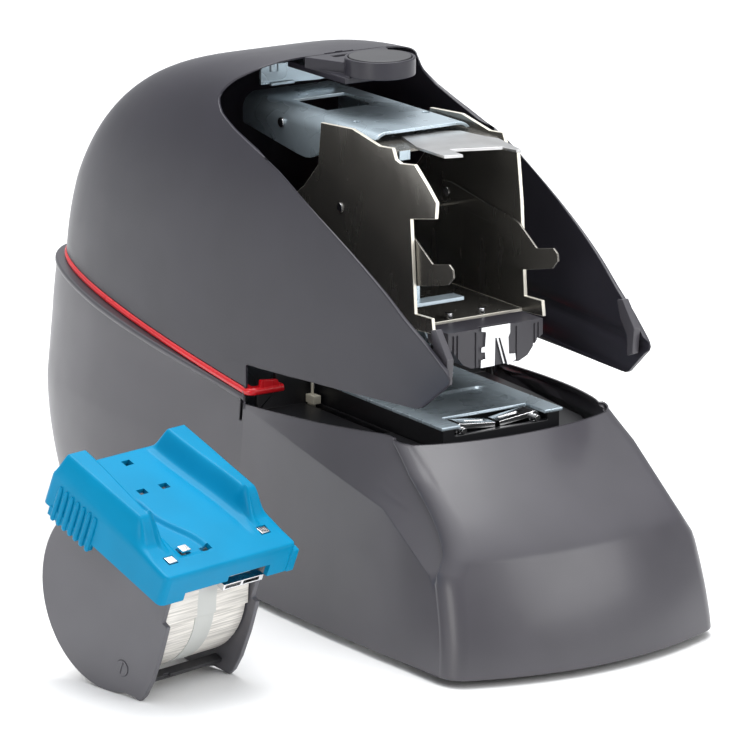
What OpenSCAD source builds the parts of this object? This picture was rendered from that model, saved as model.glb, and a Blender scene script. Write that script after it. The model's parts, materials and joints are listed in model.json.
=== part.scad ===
// Electric desk stapler for thick stacks, with its removable staple cassette standing beside it.
// Frame: +Z up, desk at z = 0, paper goes in from the -Y end, +X is the right side seen from there.

/* [Casing] */
// Half width of the casing at its widest, above the joint line
case_half_w = 64.5; // [62:0.5:68]
// Height of the casing's top
case_h = 206; // [205:0.5:214]
// Y of the hood's rear face
rear_y = 171; // [169:0.5:173]
// Wall thickness of both plastic shells
wall = 2.5; // [2:0.1:3]
// Height of the hood's lower edge at the throat's back
seam_z = 83; // [82.5:0.1:83.5]
// Rise of the joint line per millimetre towards the rear
seam_slope = 0.155; // [0.15:0.001:0.16]
// Thickness of the red trim strip between the two shells
trim_t = 3; // [2.6:0.1:3.2]

/* [Throat] */
// Y of the throat's back wall
throat_y = 5; // [4:0.5:6]
// Height of the platform that the paper lies on
platform_z = 82.6; // [82:0.1:83]
// Half width of the platform
platform_half_w = 28; // [27:0.5:29]
// Y of the platform's front edge
platform_front = -85; // [-86:0.5:-84]

/* [Head] */
// Y of the head's hinge shaft
pivot_y = 92; // [91:0.5:93]
// Height of the head's hinge shaft
pivot_z = 118; // [117:0.5:119]
// Radius of the head's hinge shaft
pivot_r = 4; // [3.5:0.1:4.5]
// Distance from the middle to each side plate of the cassette bay
bay_x = 25.4; // [25.2:0.1:25.6]
// Thickness of the bay's sheet metal
sheet = 1.5; // [1.2:0.1:1.6]

/* [Drive] */
// Gear module of the slow stage
slow_mod = 1; // [1:1:1]
// Gear module of the fast stage
fast_mod = 0.8; // [0.8:0.8:0.8]
// Teeth on the cam shaft's gear
cam_teeth = 44; // [44:1:44]
// Teeth on the small side of the middle gear
mid_small_teeth = 14; // [14:1:14]
// Teeth on the large side of the middle gear
mid_large_teeth = 40; // [40:1:40]
// Teeth on the motor's pinion
motor_teeth = 12; // [12:1:12]
// Radius of the pressing rollers
roller_r = 5; // [4.5:0.1:5.2]

/* [Cassette] */
// Width of the cassette's blue cover
cas_w = 66; // [65:0.5:67]
// Length of the cover
cas_l = 70; // [69:0.5:71]
// Outer width over the two side plates
cas_body_w = 47; // [46.5:0.1:47.4]
// Radius of the side plates' round end
cas_round_r = 35.5; // [35:0.1:36]
// Outer radius of the staple roll
roll_r = 28.8; // [28:0.1:29.2]
// Nose-down tilt of the standing cassette
cas_tilt = 22.4; // [22:0.1:23]
// Turn of the standing cassette about the vertical
cas_turn = 11.5; // [10:0.1:13]

/* [Hidden] */
$fn = 48;

// Casing outline: half width at (y, z) is w * (k - ((y - mid_y) / length)^yq)^(1/xp)
xp = 7.3;               // squareness of the plan outline
soft_z = 140;           // above this height the outline grows rounder
top_soft = 1.8;         // by this much at the casing's top
yq = 3.2;               // roundness towards the rear
zr = 2.4;               // roundness towards the top
mid_y = -20;            // where the rear rounding starts
base_z = 80;            // height where the top rounding starts
tuck = 22;              // how far the rear tucks in at the desk
belly_z = 54;           // height of the rear's furthest point
front_cut = -130;       // the hood's outline runs forward to here before it is cut
foot_z = 3;             // underside of the casing above the desk
front_y = -154.5;       // foremost point of the casing
crease_z = 45;          // soft crease across the front
crease_y = -142.7;
lip_y = -99;            // front edge of the throat
lip_z = 80;
front_bow = 14;         // how far the front's corners stay behind its middle
corner_r = 9;
flare_w = 66.5;         // half width at the desk
rear_step = 2.6;        // how far the lower housing's rear stands out at the joint line
rear_swell = 6.4;       // and at its furthest point

function taper(y) = 1 - 0.243 * pow(max(0, min(2, (140 - y) / 240)), 2);
function top_k(z, off) = 1 - pow(max(0, (z - base_z) / (case_h - base_z - off)), zr);
function rear_k(y, off) = pow(max(0, (y - mid_y) / (rear_y - mid_y - off)), yq);
function hood_w(y, off) = (case_half_w - off) * taper(y);
function xp_at(z) = xp - top_soft * max(0, (z - soft_z) / (case_h - soft_z));

// One level of the hood's outline, from the front on the right round the rear to the left
side_steps = [0, 0.25, 0.5, 0.75, 1];
round_steps = [0.995, 0.98, 0.955, 0.92, 0.87, 0.8, 0.68, 0.5, 0.26];
function rear_at(s, k, power, off) =
    mid_y + (rear_y - mid_y - off) * pow(k * (1 - pow(s, power)), 1 / yq);
function hood_half(z, off) =
    let (k = top_k(z, off), power = xp_at(z), s0 = pow(k, 1 / power))
    concat(
        [for (t = side_steps)
            let (y = front_cut + (mid_y - front_cut) * t)
            [s0 * hood_w(y, off), y, z]],
        [for (s = round_steps)
            let (y = rear_at(s, k, power, off))
            [s * s0 * hood_w(y, off), y, z]]
    );
function mirror_half(half) = concat(
    half,
    [[0, half[len(half) - 1][1] + 0.4, half[0][2]]],
    [for (i = [len(half) - 1:-1:0]) [-half[i][0], half[i][1], half[i][2]]]
);
top_steps = [0.61, 0.69, 0.76, 0.82, 0.87, 0.91, 0.945, 0.972, 0.99];
function hood_levels(off, low) = concat(
    [low, 90, 100, 112, 124, 136, 148],
    [for (s = top_steps) base_z + (case_h - base_z - off) * s]
);
function hood_rings(off, low) = [for (z = hood_levels(off, low)) mirror_half(hood_half(z, off))];

// One level of the lower housing's outline
function crease_at(y) = y > -91 ? 57.4 + 0.19 * (y + 91) : 57.4 - 0.59 * (-91 - y);
function crease_y_at(z) = z > 57.4 ? min(throat_y, (z - 57.4) / 0.19 - 91) : -91 - (57.4 - z) / 0.59;
// The lower housing swells out behind the throat, to a step below the hood's rear
function ease(t) = let (u = max(0, min(1, t))) u * u * (3 - 2 * u);
function swell_at(z) = rear_step + (rear_swell - rear_step) * max(0, min(1, (112 - z) / 58));
function flank_w(y, z) =
    let (top = case_half_w * taper(max(y, throat_y)) - 3.2 * pow(max(0, throat_y - y) / 100, 2),
         foot = flare_w - 4.6 * pow(max(0, mid_y - y) / 110, 2))
    foot + (top - foot) * min(1, (z - foot_z) / (base_z - foot_z))
        + swell_at(z) * ease((y - throat_y) / 115);
function bevel(y) = 0.0064 * max(0, throat_y - y);
function housing_w(y, z) =
    let (zc = crease_at(y), zb = min(z, 84))
    y < throat_y && zb > zc ? flank_w(y, zc) - bevel(y) * (zb - zc) : flank_w(y, z);
function tuck_in(z) = tuck * pow(max(0, (belly_z - z) / belly_z), 2);
function front_at(z) = z < crease_z
    ? front_y + (crease_y - front_y) * pow(max(0, z - foot_z) / (crease_z - foot_z), 1.6)
    : crease_y + (lip_y - crease_y) * pow(min(1, (z - crease_z) / (lip_z - crease_z)), 1.25);
function bow(x) = front_bow * pow(x / 61, 2);
function housing_half(z, off) =
    let (k = top_k(z, off),
         yf = front_at(z) + off,
         r = corner_r - off,
         wf = housing_w(yf + front_bow + r, z) - off,
         yc = yf + bow(wf - r) + r,
         yk = max(yc + 3, min(crease_y_at(z), throat_y)),
         rear = rear_y - mid_y - off - tuck_in(z) + swell_at(z))
    concat(
        [for (s = [0.25, 0.5, 0.75, 0.9]) let (x = s * (wf - r)) [x, yf + bow(x), z]],
        [for (a = [0:22.5:90]) [wf - r + r * sin(a), yf + bow(wf - r) + r * (1 - cos(a)), z]],
        [for (t = [0.33, 0.67, 1]) let (y = yc + (yk - yc) * t) [housing_w(y, z) - off, y, z]],
        [for (t = [0.3, 0.65, 1])
            let (y = yk + (70 - yk) * t,
                 rk = pow(max(0, (y - mid_y) / rear), yq))
            [(housing_w(y, z) - off) * pow(k - rk, 1 / xp), y, z]],
        [for (s = [0.965, 0.94, 0.9, 0.84, 0.74, 0.58, 0.34])
            let (y = mid_y + rear * pow(k * (1 - pow(s, xp)), 1 / yq))
            [s * pow(k, 1 / xp) * (housing_w(y, z) - off), y, z]]
    );
function housing_ring(z, off) =
    let (half = housing_half(z, off))
    concat([[0, front_at(z) + off, z]], mirror_half(half));
function housing_rings(off, levels) = [for (z = levels) housing_ring(z, off)];

// Closed solid through rings that all have the same number of points
module loft(rings) {
    n = len(rings[0]);
    m = len(rings);
    points = [for (ring = rings) each ring];
    sides = [for (j = [0:m - 2], i = [0:n - 1]) each [
        [j * n + i, (j + 1) * n + i, (j + 1) * n + (i + 1) % n],
        [j * n + i, (j + 1) * n + (i + 1) % n, j * n + (i + 1) % n]
    ]];
    low = [[for (i = [0:n - 1]) i]];
    high = [[for (i = [n - 1:-1:0]) (m - 1) * n + i]];
    polyhedron(points = points, faces = concat(sides, low, high), convexity = 10);
}

// Sheet or block of a side-view outline: points are [y, z], centred on x
module side_sheet(x, t, points) {
    translate([x - t / 2, 0, 0])
        rotate([90, 0, 90])
            linear_extrude(t)
                polygon(points);
}

// Round bar along X from x0 to x1 at (y, z)
module bar(y, z, r, x0, x1) {
    translate([x0, y, z])
        rotate([0, 90, 0])
            cylinder(r = r, h = x1 - x0);
}

module round_plate(size, r, h) {
    linear_extrude(h)
        hull()
            for (x = [-1, 1], y = [-1, 1])
                translate([x * (size[0] / 2 - r), y * (size[1] / 2 - r)])
                    circle(r = r, $fn = 32);
}

// ---- casing ----

function joint_z(y) = seam_z + seam_slope * (y - throat_y);
housing_top = joint_z(throat_y) - trim_t;
lip_slope = 0.0626;

// Everything above the lower housing's top edge
module above_housing() {
    side_sheet(0, 200, [
        [throat_y, housing_top], [200, housing_top + seam_slope * (200 - throat_y)], [200, 160],
        [-200, 160], [-200, lip_z + 10], [-120, lip_z - 1.5], [lip_y - 2, lip_z - 0.2],
        [-76, 76.5 + lip_slope * (throat_y + 76)], [throat_y, 76.5]
    ]);
}

inlet_x = -22;
switch_x = 24;
rear_fit_y = 173.6;     // rear face of the inlet and the switch
rear_fit_z = 40;

module lower_housing() {
    color("#4a474f")
        difference() {
            loft(housing_rings(0, [3, 8, 16, 26, 36, 45, 51, 57, 63, 69, 75, 81, 88, 98, 112]));
            loft(housing_rings(wall, [2, 16, 32, 45, 54, 63, 72, 81, 90, 112.5]));
            above_housing();
            translate([inlet_x - 14.2, 140, rear_fit_z - 10.2])
                cube([28.4, 40, 20.4]);
            translate([switch_x - 10.2, 140, rear_fit_z - 7.2])
                cube([20.4, 40, 14.4]);
            for (x = [-1, 1])
                translate([x * 60 - 6, throat_y + 1.8, 69])
                    cube([12, 1.6, 7]);
        }
}

module hood() {
    color("#55525a")
        difference() {
            loft(hood_rings(0, 82));
            difference() {
                loft(hood_rings(wall, 81));
                // side steps that the trim strip's ends sit against
                for (x = [-1, 1])
                    translate([x * 60 - 14, throat_y - 1, 80])
                        cube([28, 2, 14]);
            }
            side_sheet(0, 200, [
                [-200, 60], [throat_y - 1, 60], [throat_y - 1, 92.4], [-98.5, 96.4],
                [-117, 110.6], [-103, 122], [-91.6, 128.8], [-80, 136.6], [-67.5, 143.8],
                [-53.6, 151], [-39, 158], [-23.8, 165], [-9, 171.6], [12, 178.2], [24, 181.8],
                [35, 186], [41, 191], [38, 197.5], [31, 202.5], [27.5, 206], [22, 215], [-200, 215]
            ]);
            side_sheet(0, 200, [
                [throat_y - 1.1, 60], [throat_y - 1.1, joint_z(throat_y - 1.1)],
                [200, joint_z(200)], [200, 60]
            ]);
        }
}

module red_trim_strip() {
    color("#d01018")
        intersection() {
            difference() {
                loft(hood_rings(-0.8, 76));
                loft(hood_rings(4.5, 75));
            }
            side_sheet(0, 200, [
                [throat_y, housing_top], [200, housing_top + seam_slope * (200 - throat_y)],
                [200, joint_z(200)], [throat_y, joint_z(throat_y)]
            ]);
        }
    // ends that turn inwards at the throat's back
    color("#d01018")
        for (s = [0, 1])
            mirror([s, 0, 0]) {
                translate([44, throat_y - 3.5, housing_top])
                    cube([16.4, 2.4, trim_t]);
                translate([46, throat_y - 3.5, housing_top])
                    cube([8, 2.4, 5.8]);
                translate([57.2, throat_y - 3.5, housing_top])
                    cube([3.2, 4, trim_t]);
            }
}

module bottom_plate() {
    color("#2a2a2c")
        difference() {
            translate([0, 0, 3])
                linear_extrude(2.4)
                    polygon([
                        [-56, -132], [-40, -140], [0, -144], [40, -140], [56, -132], [58, -40],
                        [58, 110], [52, 130], [36, 138], [-36, 138], [-52, 130], [-58, 110], [-58, -40]
                    ]);
            for (x = [-1, 1], y = [-104, 98])
                translate([x * 48, y, 0])
                    cylinder(r = 2.1, h = 10);
        }
}

module rubber_feet() {
    color("#1c1c1e")
        for (x = [-1, 1], y = [-122, 118])
            translate([x * 48, y, 0])
                cylinder(r = 8, h = 3);
}

module housing_screws() {
    color("#b9bcc2")
        for (x = [-1, 1], y = [-104, 98])
            translate([x * 48, y, 1.4]) {
                difference() {
                    cylinder(r = 3.6, h = 1.6);
                    translate([-2.4, -0.4, -1])
                        cube([4.8, 0.8, 1.8]);
                }
                cylinder(r = 1.9, h = 16);
            }
}

// ---- chassis ----

chassis_x = 32;
chassis_outline = [
    [-60, 5.4], [122, 5.4], [122, 60], [106, 118], [100, 129], [84, 129], [78, 118], [60, 98],
    [18, 94], [9, 84], [9, 68], [-60, 40]
];
// Rest position of the roller that the cam presses on, and the direction in which it travels
roller_y = 42;
roller_z = 60;
reach = norm([roller_y - pivot_y, roller_z - pivot_z]);
push = [-(roller_z - pivot_z) / reach, (roller_y - pivot_y) / reach];
cam_gap = 1.05;
cam_base = 15;          // cam centre to roller centre at rest
head_travel = 5.4;      // degrees
cam_turn = 150;         // degrees of cam shaft for the whole stroke
cam_rise = reach * head_travel * PI / 180;
cam_y = roller_y - cam_base * push[0];
cam_z = roller_z - cam_base * push[1];
mid_angle = -30;
slow_dist = slow_mod * (cam_teeth + mid_small_teeth) / 2;
fast_dist = fast_mod * (mid_large_teeth + motor_teeth) / 2;
mid_gear_y = cam_y + slow_dist * cos(mid_angle);
mid_gear_z = cam_z + slow_dist * sin(mid_angle);
motor_angle = -20;
motor_y = mid_gear_y + fast_dist * cos(motor_angle);
motor_z = mid_gear_z + fast_dist * sin(motor_angle);

module chassis_plate(x) {
    color("#8d9096")
        difference() {
            side_sheet(x, 2, chassis_outline);
            bar(pivot_y, pivot_z, pivot_r, x - 5, x + 5);
            bar(cam_y, cam_z, 4.05, x - 5, x + 5);
            bar(mid_gear_y, mid_gear_z, 2.5, x - 5, x + 5);
            bar(motor_y, motor_z, 3.2, x - 5, x + 5);
            side_sheet(x, 10, [[-40, 14], [0, 14], [0, 48], [-40, 34]]);
        }
}

module chassis_plate_left() {
    chassis_plate(-chassis_x);
}

module chassis_plate_right() {
    chassis_plate(chassis_x);
}

spring_y = 62;
spring_low = 88;
spring_high = 125;

module chassis_cross_plate() {
    color("#8d9096")
        translate([-chassis_x + 1, 58, spring_low - 2])
            cube([2 * chassis_x - 2, 16, 2]);
}

module throat_tray() {
    color("#202124") {
        difference() {
            translate([0, 0, 71])
                linear_extrude(2)
                    polygon([
                        [-54, throat_y + 2], [-52, -30], [-47, -70], [-40, -91], [-20, -97], [0, -99],
                        [20, -97], [40, -91], [47, -70], [52, -30], [54, throat_y + 2]
                    ]);
            translate([-27.5, platform_front + 0.2, 60])
                cube([55, 93, 30]);
            translate([-32.2, -50, 60])
                cube([4, 54.7, 30]);
        }
        difference() {
            translate([-54, throat_y - 0.2, 72])
                cube([108, 2.2, 23]);
            translate([-28.5, throat_y - 2, 60])
                cube([57, 6, 60]);
            for (s = [0, 1])
                mirror([s, 0, 0])
                    translate([45.6, throat_y - 2, housing_top])
                        cube([20, 6, 20]);
        }
    }
}

tower_half_w = 27;
clinch_x = 17;
clinch_y = -77.5;
clinch_z = platform_z - 3;
sensor_y = -4;
sensor_z = 71;

module anvil_tower() {
    color("#26272a")
        difference() {
            translate([-tower_half_w, platform_front + 0.8, 5.4])
                cube([2 * tower_half_w, 90.2, platform_z - 1.4 - 5.4]);
            translate([-tower_half_w + 2.5, platform_front + 3.3, 4])
                cube([2 * tower_half_w - 5, 85.2, 58]);
            translate([-21.5, platform_front + 3.3, 58])
                cube([43, 14, 40]);
            translate([-21.5, platform_front - 1, clinch_z - 1.3])
                cube([43, 6, 8]);
            for (x = [-1, 1])
                translate([x * clinch_x, platform_front, clinch_z])
                    rotate([-90, 0, 0])
                        cylinder(r = 1.2, h = 22);
            translate([11.8, -12, 65])
                cube([6.4, 17, 30]);
            bar(sensor_y, sensor_z, 1.2, 8, 22);
        }
}

module platform_plate() {
    color("#9fb2bb")
        difference() {
            union() {
                translate([-platform_half_w, platform_front, platform_z - 1.4])
                    cube([2 * platform_half_w, 92, 1.4]);
                for (x = [-platform_half_w, platform_half_w - 3.4])
                    translate([x, platform_front, platform_z - 7])
                        cube([3.4, 0.7, 6]);
            }
            translate([0, -56, platform_z - 0.5])
                round_plate([40, 26], 4, 2);
            translate([-20.4, platform_front - 1, platform_z - 5])
                cube([40.8, 13.4, 8]);
            translate([11.8, -12, platform_z - 5])
                cube([6.4, 17, 8]);
        }
}

module clincher_pins() {
    color("#c9ccd0")
        for (x = [-1, 1])
            translate([x * clinch_x, platform_front + 0.8, clinch_z])
                rotate([-90, 0, 0])
                    cylinder(r = 1.2, h = 20);
}

// Arm of the clincher, from its pin towards the middle, resting a little below level
clinch_rest = 6;
module clincher(side) {
    color("#d8dade")
        translate([side * clinch_x, clinch_y, clinch_z])
            rotate([0, side * -clinch_rest, 0])
                difference() {
                    union() {
                        rotate([90, 0, 0])
                            cylinder(r = 2.4, h = 8, center = true);
                        translate([side > 0 ? -16 : 0, -4, 0.2])
                            cube([16, 8, 2.1]);
                    }
                    rotate([90, 0, 0])
                        cylinder(r = 1.25, h = 20, center = true);
                    translate([side * -9, 0, 2.6])
                        cube([9, 2, 1.6], center = true);
                }
}

module clincher_left() {
    clincher(-1);
}

module clincher_right() {
    clincher(1);
}

// ---- drive ----

function involute(a) = tan(a) * 180 / PI - a;
function tooth_half(r, rb, n, play) =
    90 / n - play + involute(20) - involute(acos(min(1, rb / r)));
function polar(r, a) = [r * cos(a), r * sin(a)];
function gear_outline(n, m, play) =
    let (rp = n * m / 2, rb = rp * cos(20), root = rp - 1.2 * m, tip = rp + 0.8 * m,
         low = max(rb, root),
         flank = [for (t = [0, 0.3, 0.65, 1]) low + (tip - low) * t],
         foot = tooth_half(low, rb, n, play) + 0.4)
    [for (i = [0:n - 1])
        let (mid = i * 360 / n)
        each concat(
            [polar(root, mid - foot)],
            [for (r = flank) polar(r, mid - tooth_half(r, rb, n, play))],
            [for (j = [3:-1:0]) polar(flank[j], mid + tooth_half(flank[j], rb, n, play))],
            [polar(root, mid + foot)]
        )];

// Gear along X: its tooth 0 points at angle start, measured in the YZ plane from +Y towards +Z
module gear(y, z, x, t, n, m, start, bore) {
    translate([x, y, z])
        rotate([90, 0, 90])
            rotate([0, 0, start])
                linear_extrude(t)
                    difference() {
                        polygon(gear_outline(n, m, 0.45));
                        circle(r = bore);
                    }
}

module cam_gear() {
    color("#e6e2d6")
        difference() {
            gear(cam_y, cam_z, 35.5, 5, cam_teeth, slow_mod, mid_angle, 4);
            for (a = [0:60:300])
                translate([35, cam_y + 12.5 * cos(a), cam_z + 12.5 * sin(a)])
                    rotate([0, 90, 0])
                        cylinder(r = 3.6, h = 6);
        }
}

module middle_gear() {
    color("#f0ece0") {
        gear(mid_gear_y, mid_gear_z, 35, 6.3, mid_small_teeth, slow_mod,
             mid_angle + 180 + 180 / mid_small_teeth, 2.55);
        gear(mid_gear_y, mid_gear_z, 41.3, 4, mid_large_teeth, fast_mod, motor_angle, 2.55);
    }
}

module motor_pinion() {
    color("#c9a24a")
        gear(motor_y, motor_z, 41, 4.6, motor_teeth, fast_mod,
             motor_angle + 180 + 180 / motor_teeth, 1.5);
    color("#b9bcc2")
        bar(motor_y, motor_z, 1.5, 32, 46);
}

module middle_axle() {
    color("#b9bcc2")
        bar(mid_gear_y, mid_gear_z, 2.5, 31, 46);
}

module motor() {
    color("#9a9da3")
        difference() {
            union() {
                bar(motor_y, motor_z, 16, -22, 28);
                bar(motor_y, motor_z, 6, 28, 31);
                bar(motor_y, motor_z, 5, -26, -22);
            }
            bar(motor_y, motor_z, 1.6, 29, 33);
        }
}

module cam_shaft() {
    color("#b9bcc2")
        bar(cam_y, cam_z, 4, -36, 41);
}

cam_steps = 24;
cam_home = atan2(push[1], push[0]);
// Radius grows evenly over the stroke, then returns to the home radius
function cam_radius(a) =
    a <= cam_turn
        ? cam_base + cam_rise * a / cam_turn - roller_r - cam_gap
        : cam_base + cam_rise * max(0, 1 - (a - cam_turn - 20) / 100) - roller_r - cam_gap;

module cams() {
    color("#b9bcc2")
        for (x = [-1, 1])
            translate([x * 28.7 - 1.7, cam_y, cam_z])
                rotate([90, 0, 90])
                    linear_extrude(3.4)
                        difference() {
                            polygon([for (i = [-2:cam_steps * 2])
                                let (a = i * 320 / (cam_steps * 2))
                                cam_radius(max(0, a)) * [cos(cam_home - a), sin(cam_home - a)]]);
                            circle(r = 4);
                        }
}

// ---- head ----

bay_side = [
    [2, 185], [-20, 186.5], [-39, 183.2], [-48, 184], [-50, 180], [-58, 178], [-60.5, 160],
    [-61.5, 148], [-63.5, 122.5], [-75, 123], [-76, 117], [-60, 116], [-10, 112], [26, 106],
    [34, 80], [36, 60], [38.5, 55.5], [42, 54], [45.5, 55.5], [48, 60], [50, 84], [56, 104],
    [84, 108], [92, 108.5], [99, 111], [102, 118], [99, 125], [92, 128], [84, 127],
    [40, 140], [14, 158], [4, 168]
];
// Latch nose on the left plate only
hook = [
    [-48, 184], [-50.6, 179.1], [-53.8, 179.1], [-63.2, 180.3], [-72, 173.6], [-78, 168.4],
    [-77.3, 162], [-60, 158.7], [-55, 160]
];

module bay_frame() {
    color("#b8b0a2")
        difference() {
            union() {
                side_sheet(-bay_x, sheet, bay_side);
                side_sheet(bay_x, sheet, bay_side);
                side_sheet(-bay_x, sheet, hook);
                translate([-bay_x, -62, 115.9])
                    cube([2 * bay_x, 50, 1.4]);
            }
            bar(pivot_y, pivot_z, pivot_r + 0.05, -40, 40);
            bar(spring_y, 128, 3, -40, 40);
            bar(roller_y, roller_z, 2.5, -40, 40);
            bar(yoke_pivot[0], yoke_pivot[1], 1.8, -40, 40);
        }
}

module zinc_arm() {
    color("#9db4c0")
        difference() {
            union() {
                translate([-23.2, -30, 184.6])
                    cube([46.4, 94, 1.4]);
                for (x = [-22.5, 22.5])
                    side_sheet(x, 1.4, [
                        [64, 185], [6, 185], [4.6, 180], [6, 174], [10, 170], [18, 167.6],
                        [27, 168.4], [64, 174]
                    ]);
                translate([-23.2, 62.6, 170])
                    cube([46.4, 1.4, 15]);
            }
            translate([-14, 16, 180])
                cube([24, 25, 10]);
            bar(34.4, 179, 2, -40, 40);
            for (x = [-16, 16])
                translate([x, -8, 180])
                    cylinder(r = 1.6, h = 10);
        }
}

module arm_pin() {
    color("#c9ccd0") {
        bar(34.4, 179, 2, -24.3, 24.3);
    }
}

inner_w = 2 * bay_x - sheet;

module bridge_plate() {
    color("#d9d6cc") {
        translate([-inner_w / 2, -46, 181])
            cube([inner_w, 27, 1.2]);
        translate([0, 0, 182])
            linear_extrude(1.2)
                polygon([
                    [-9.2, -29], [7, -27.4], [15.5, -33], [17.8, -47], [20, -52], [15.6, -74],
                    [13.6, -73.4], [12.2, -66], [-7, -58.6], [-8, -69.2], [-15.1, -67], [-15, -48]
                ]);
        translate([-22, -46.8, 178.3])
            cube([5, 1, 3.9]);
    }
}

// Small ledge that guides the staples, low on the left plate
module feed_guide() {
    color("#a9bcc6") {
        translate([-inner_w / 2, -63, 124.6])
            cube([inner_w / 2 - 3, 7, 1.4]);
        translate([-inner_w / 2, -57.2, 124.8])
            cube([5.2, 1.2, 6.6]);
    }
}

module nose_block() {
    color("#3e3c44")
        difference() {
            translate([0, -66, 0])
                rotate([90, 0, 0])
                    linear_extrude(14)
                        polygon([
                            [-22, 117.5], [-22, 111.4], [-19.4, 109.6], [-14.9, 104], [-11, 102.2],
                            [11, 102.2], [14.9, 104], [19.4, 109.6], [22, 111.4], [22, 117.5]
                        ]);
            translate([-7, -78.9, 90])
                cube([14, 1.6, 30]);
        }
}

// Bright sheet-metal clip with two legs and a window between them, on the nose's front
module former_clip() {
    color("#e4e4e2")
        translate([0, -80, 0])
            rotate([90, 0, 0])
                linear_extrude(1)
                    {
                        polygon([
                            [-7.3, 118], [6.1, 118], [6.1, 114.4], [5.3, 112.7], [5.6, 106.2],
                            [8.5, 105.9], [8.8, 103.3], [5.6, 101.8], [4.9, 101.8], [1.3, 112.9],
                            [-0.8, 113.2], [-1.1, 102.3], [-7.5, 102.2], [-7.5, 105.3],
                            [-5.4, 105.6], [-5.6, 108.1], [-7.3, 108.3], [-7.3, 110.1],
                            [-5.6, 110.4], [-5.2, 116], [-7.3, 116.4]
                        ]);
                        polygon([[-0.4, 113.4], [0.5, 113.4], [3.6, 102.6], [2.9, 102.4]]);
                    }
}

module bay_studs() {
    color("#e8e8e6")
        for (p = [[-8, -60], [7, -60]])
            translate([p[0], p[1], 117.3])
                cylinder(r = 1.6, h = 2.4);
}

module head_crossbar() {
    color("#b9bcc2")
        bar(spring_y, 128, 3, -26.6, 26.6);
}

module follower_rollers() {
    color("#b9bcc2")
        for (x = [-1, 1]) {
            bar(roller_y, roller_z, roller_r, x > 0 ? 27.2 : -30.2, x > 0 ? 30.2 : -27.2);
            bar(roller_y, roller_z, 2.5, x > 0 ? 24.4 : -27.2, x > 0 ? 27.2 : -24.4);
        }
}

module head_shaft() {
    color("#b9bcc2")
        bar(pivot_y, pivot_z, pivot_r, -36, 36);
}

spring_turns = 6;
spring_coil_r = 6;
spring_wire = 0.8;
function coil_point(t) = [
    spring_coil_r * cos(360 * spring_turns * t),
    spring_coil_r * sin(360 * spring_turns * t),
    spring_wire + (spring_high - spring_low - 2 * spring_wire) * t
];
function coil_ring(t) = [for (i = [0:5])
    let (a = i * 60, c = coil_point(t), d = 360 * spring_turns * t)
    c + [spring_wire * cos(a) * cos(d), spring_wire * cos(a) * sin(d), spring_wire * sin(a)]];

module return_spring() {
    color("#d0d2d6")
        translate([0, spring_y, spring_low])
            loft([for (i = [96:-1:0]) coil_ring(i / 96)]);
}

yoke_x = 23.95;
yoke_pivot = [-12, 154];
yoke_side = [
    [-8, 158], [-14.8, 158.4], [-58.6, 151.7], [-60.9, 151], [-73, 143.4], [-84, 145.6],
    [-86.6, 144], [-87, 141], [-83.5, 137.6], [-71.1, 134.6], [-60.9, 132.6], [-56, 134],
    [-52, 143], [-46, 147.2], [-16, 149.6], [-8, 150]
];

module yoke() {
    color("#cfc9bc")
        difference() {
            union() {
                side_sheet(-yoke_x, 0.9, yoke_side);
                side_sheet(yoke_x, 0.9, yoke_side);
                translate([-yoke_x, -20, 150.6])
                    cube([2 * yoke_x, 4, 1]);
            }
            bar(yoke_pivot[0], yoke_pivot[1], 1.85, -40, 40);
        }
}

module yoke_pin() {
    color("#c9ccd0")
        for (s = [0, 1])
            mirror([s, 0, 0])
                bar(yoke_pivot[0], yoke_pivot[1], 1.8, 23, 26.8);
}

module driver_blade() {
    color("#c9ccd0")
        translate([-6.2, -78.5, 106.5])
            cube([12.4, 0.8, 8]);
}

// ---- small controls ----

module paper_stop() {
    color("#e9e4d2") {
        translate([-32, throat_y - 6.5, 73.4])
            cube([3.4, 6, 3.2]);
        translate([-30.8, throat_y - 3.6, 76.6])
            cube([0.8, 1.2, 7.4]);
        translate([-31.2, throat_y - 3.5, 68.8])
            cube([2, 3, 5]);
        translate([-33.6, throat_y - 5, 68.6])
            cube([6.2, 5, 1.8]);
    }
}

module power_inlet() {
    color("#17181a")
        difference() {
            union() {
                translate([inlet_x - 14, rear_fit_y - 17, rear_fit_z - 10])
                    cube([28, 16, 20]);
                translate([inlet_x - 16.5, rear_fit_y - 9.8, rear_fit_z - 12])
                    cube([33, 2.4, 24]);
            }
            translate([inlet_x - 11.5, rear_fit_y - 14.5, rear_fit_z - 7.5])
                cube([23, 20, 15]);
        }
    color("#c9ccd0")
        for (p = [[-7, -1.5], [0, 2.5], [7, -1.5]])
            translate([inlet_x + p[0] - 1, rear_fit_y - 14.5, rear_fit_z + p[1] - 2])
                cube([2, 9, 4]);
}

module switch_bezel() {
    color("#17181a")
        difference() {
            translate([switch_x - 10, rear_fit_y - 14, rear_fit_z - 7])
                cube([20, 14, 14]);
            translate([switch_x - 8, rear_fit_y - 12.5, rear_fit_z - 5.4])
                cube([16, 20, 10.8]);
        }
}

rocker_y = rear_fit_y - 5;
rocker_rest = 6;

module rocker_switch() {
    color("#b01218") {
        translate([switch_x - 7.6, rocker_y, rear_fit_z])
            rotate([90, 0, 90])
                rotate([0, 0, -rocker_rest])
                    linear_extrude(15.2)
                        polygon([
                            [-4, -2], [0, -4.4], [5.4, -4.5], [4.4, 0], [5.4, 4.5], [0, 4.4], [-4, 2]
                        ]);
        bar(rocker_y, rear_fit_z, 1.3, switch_x - 7.9, switch_x + 7.9);
    }
}

button_z = 206;
bracket_y = 60;

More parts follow.
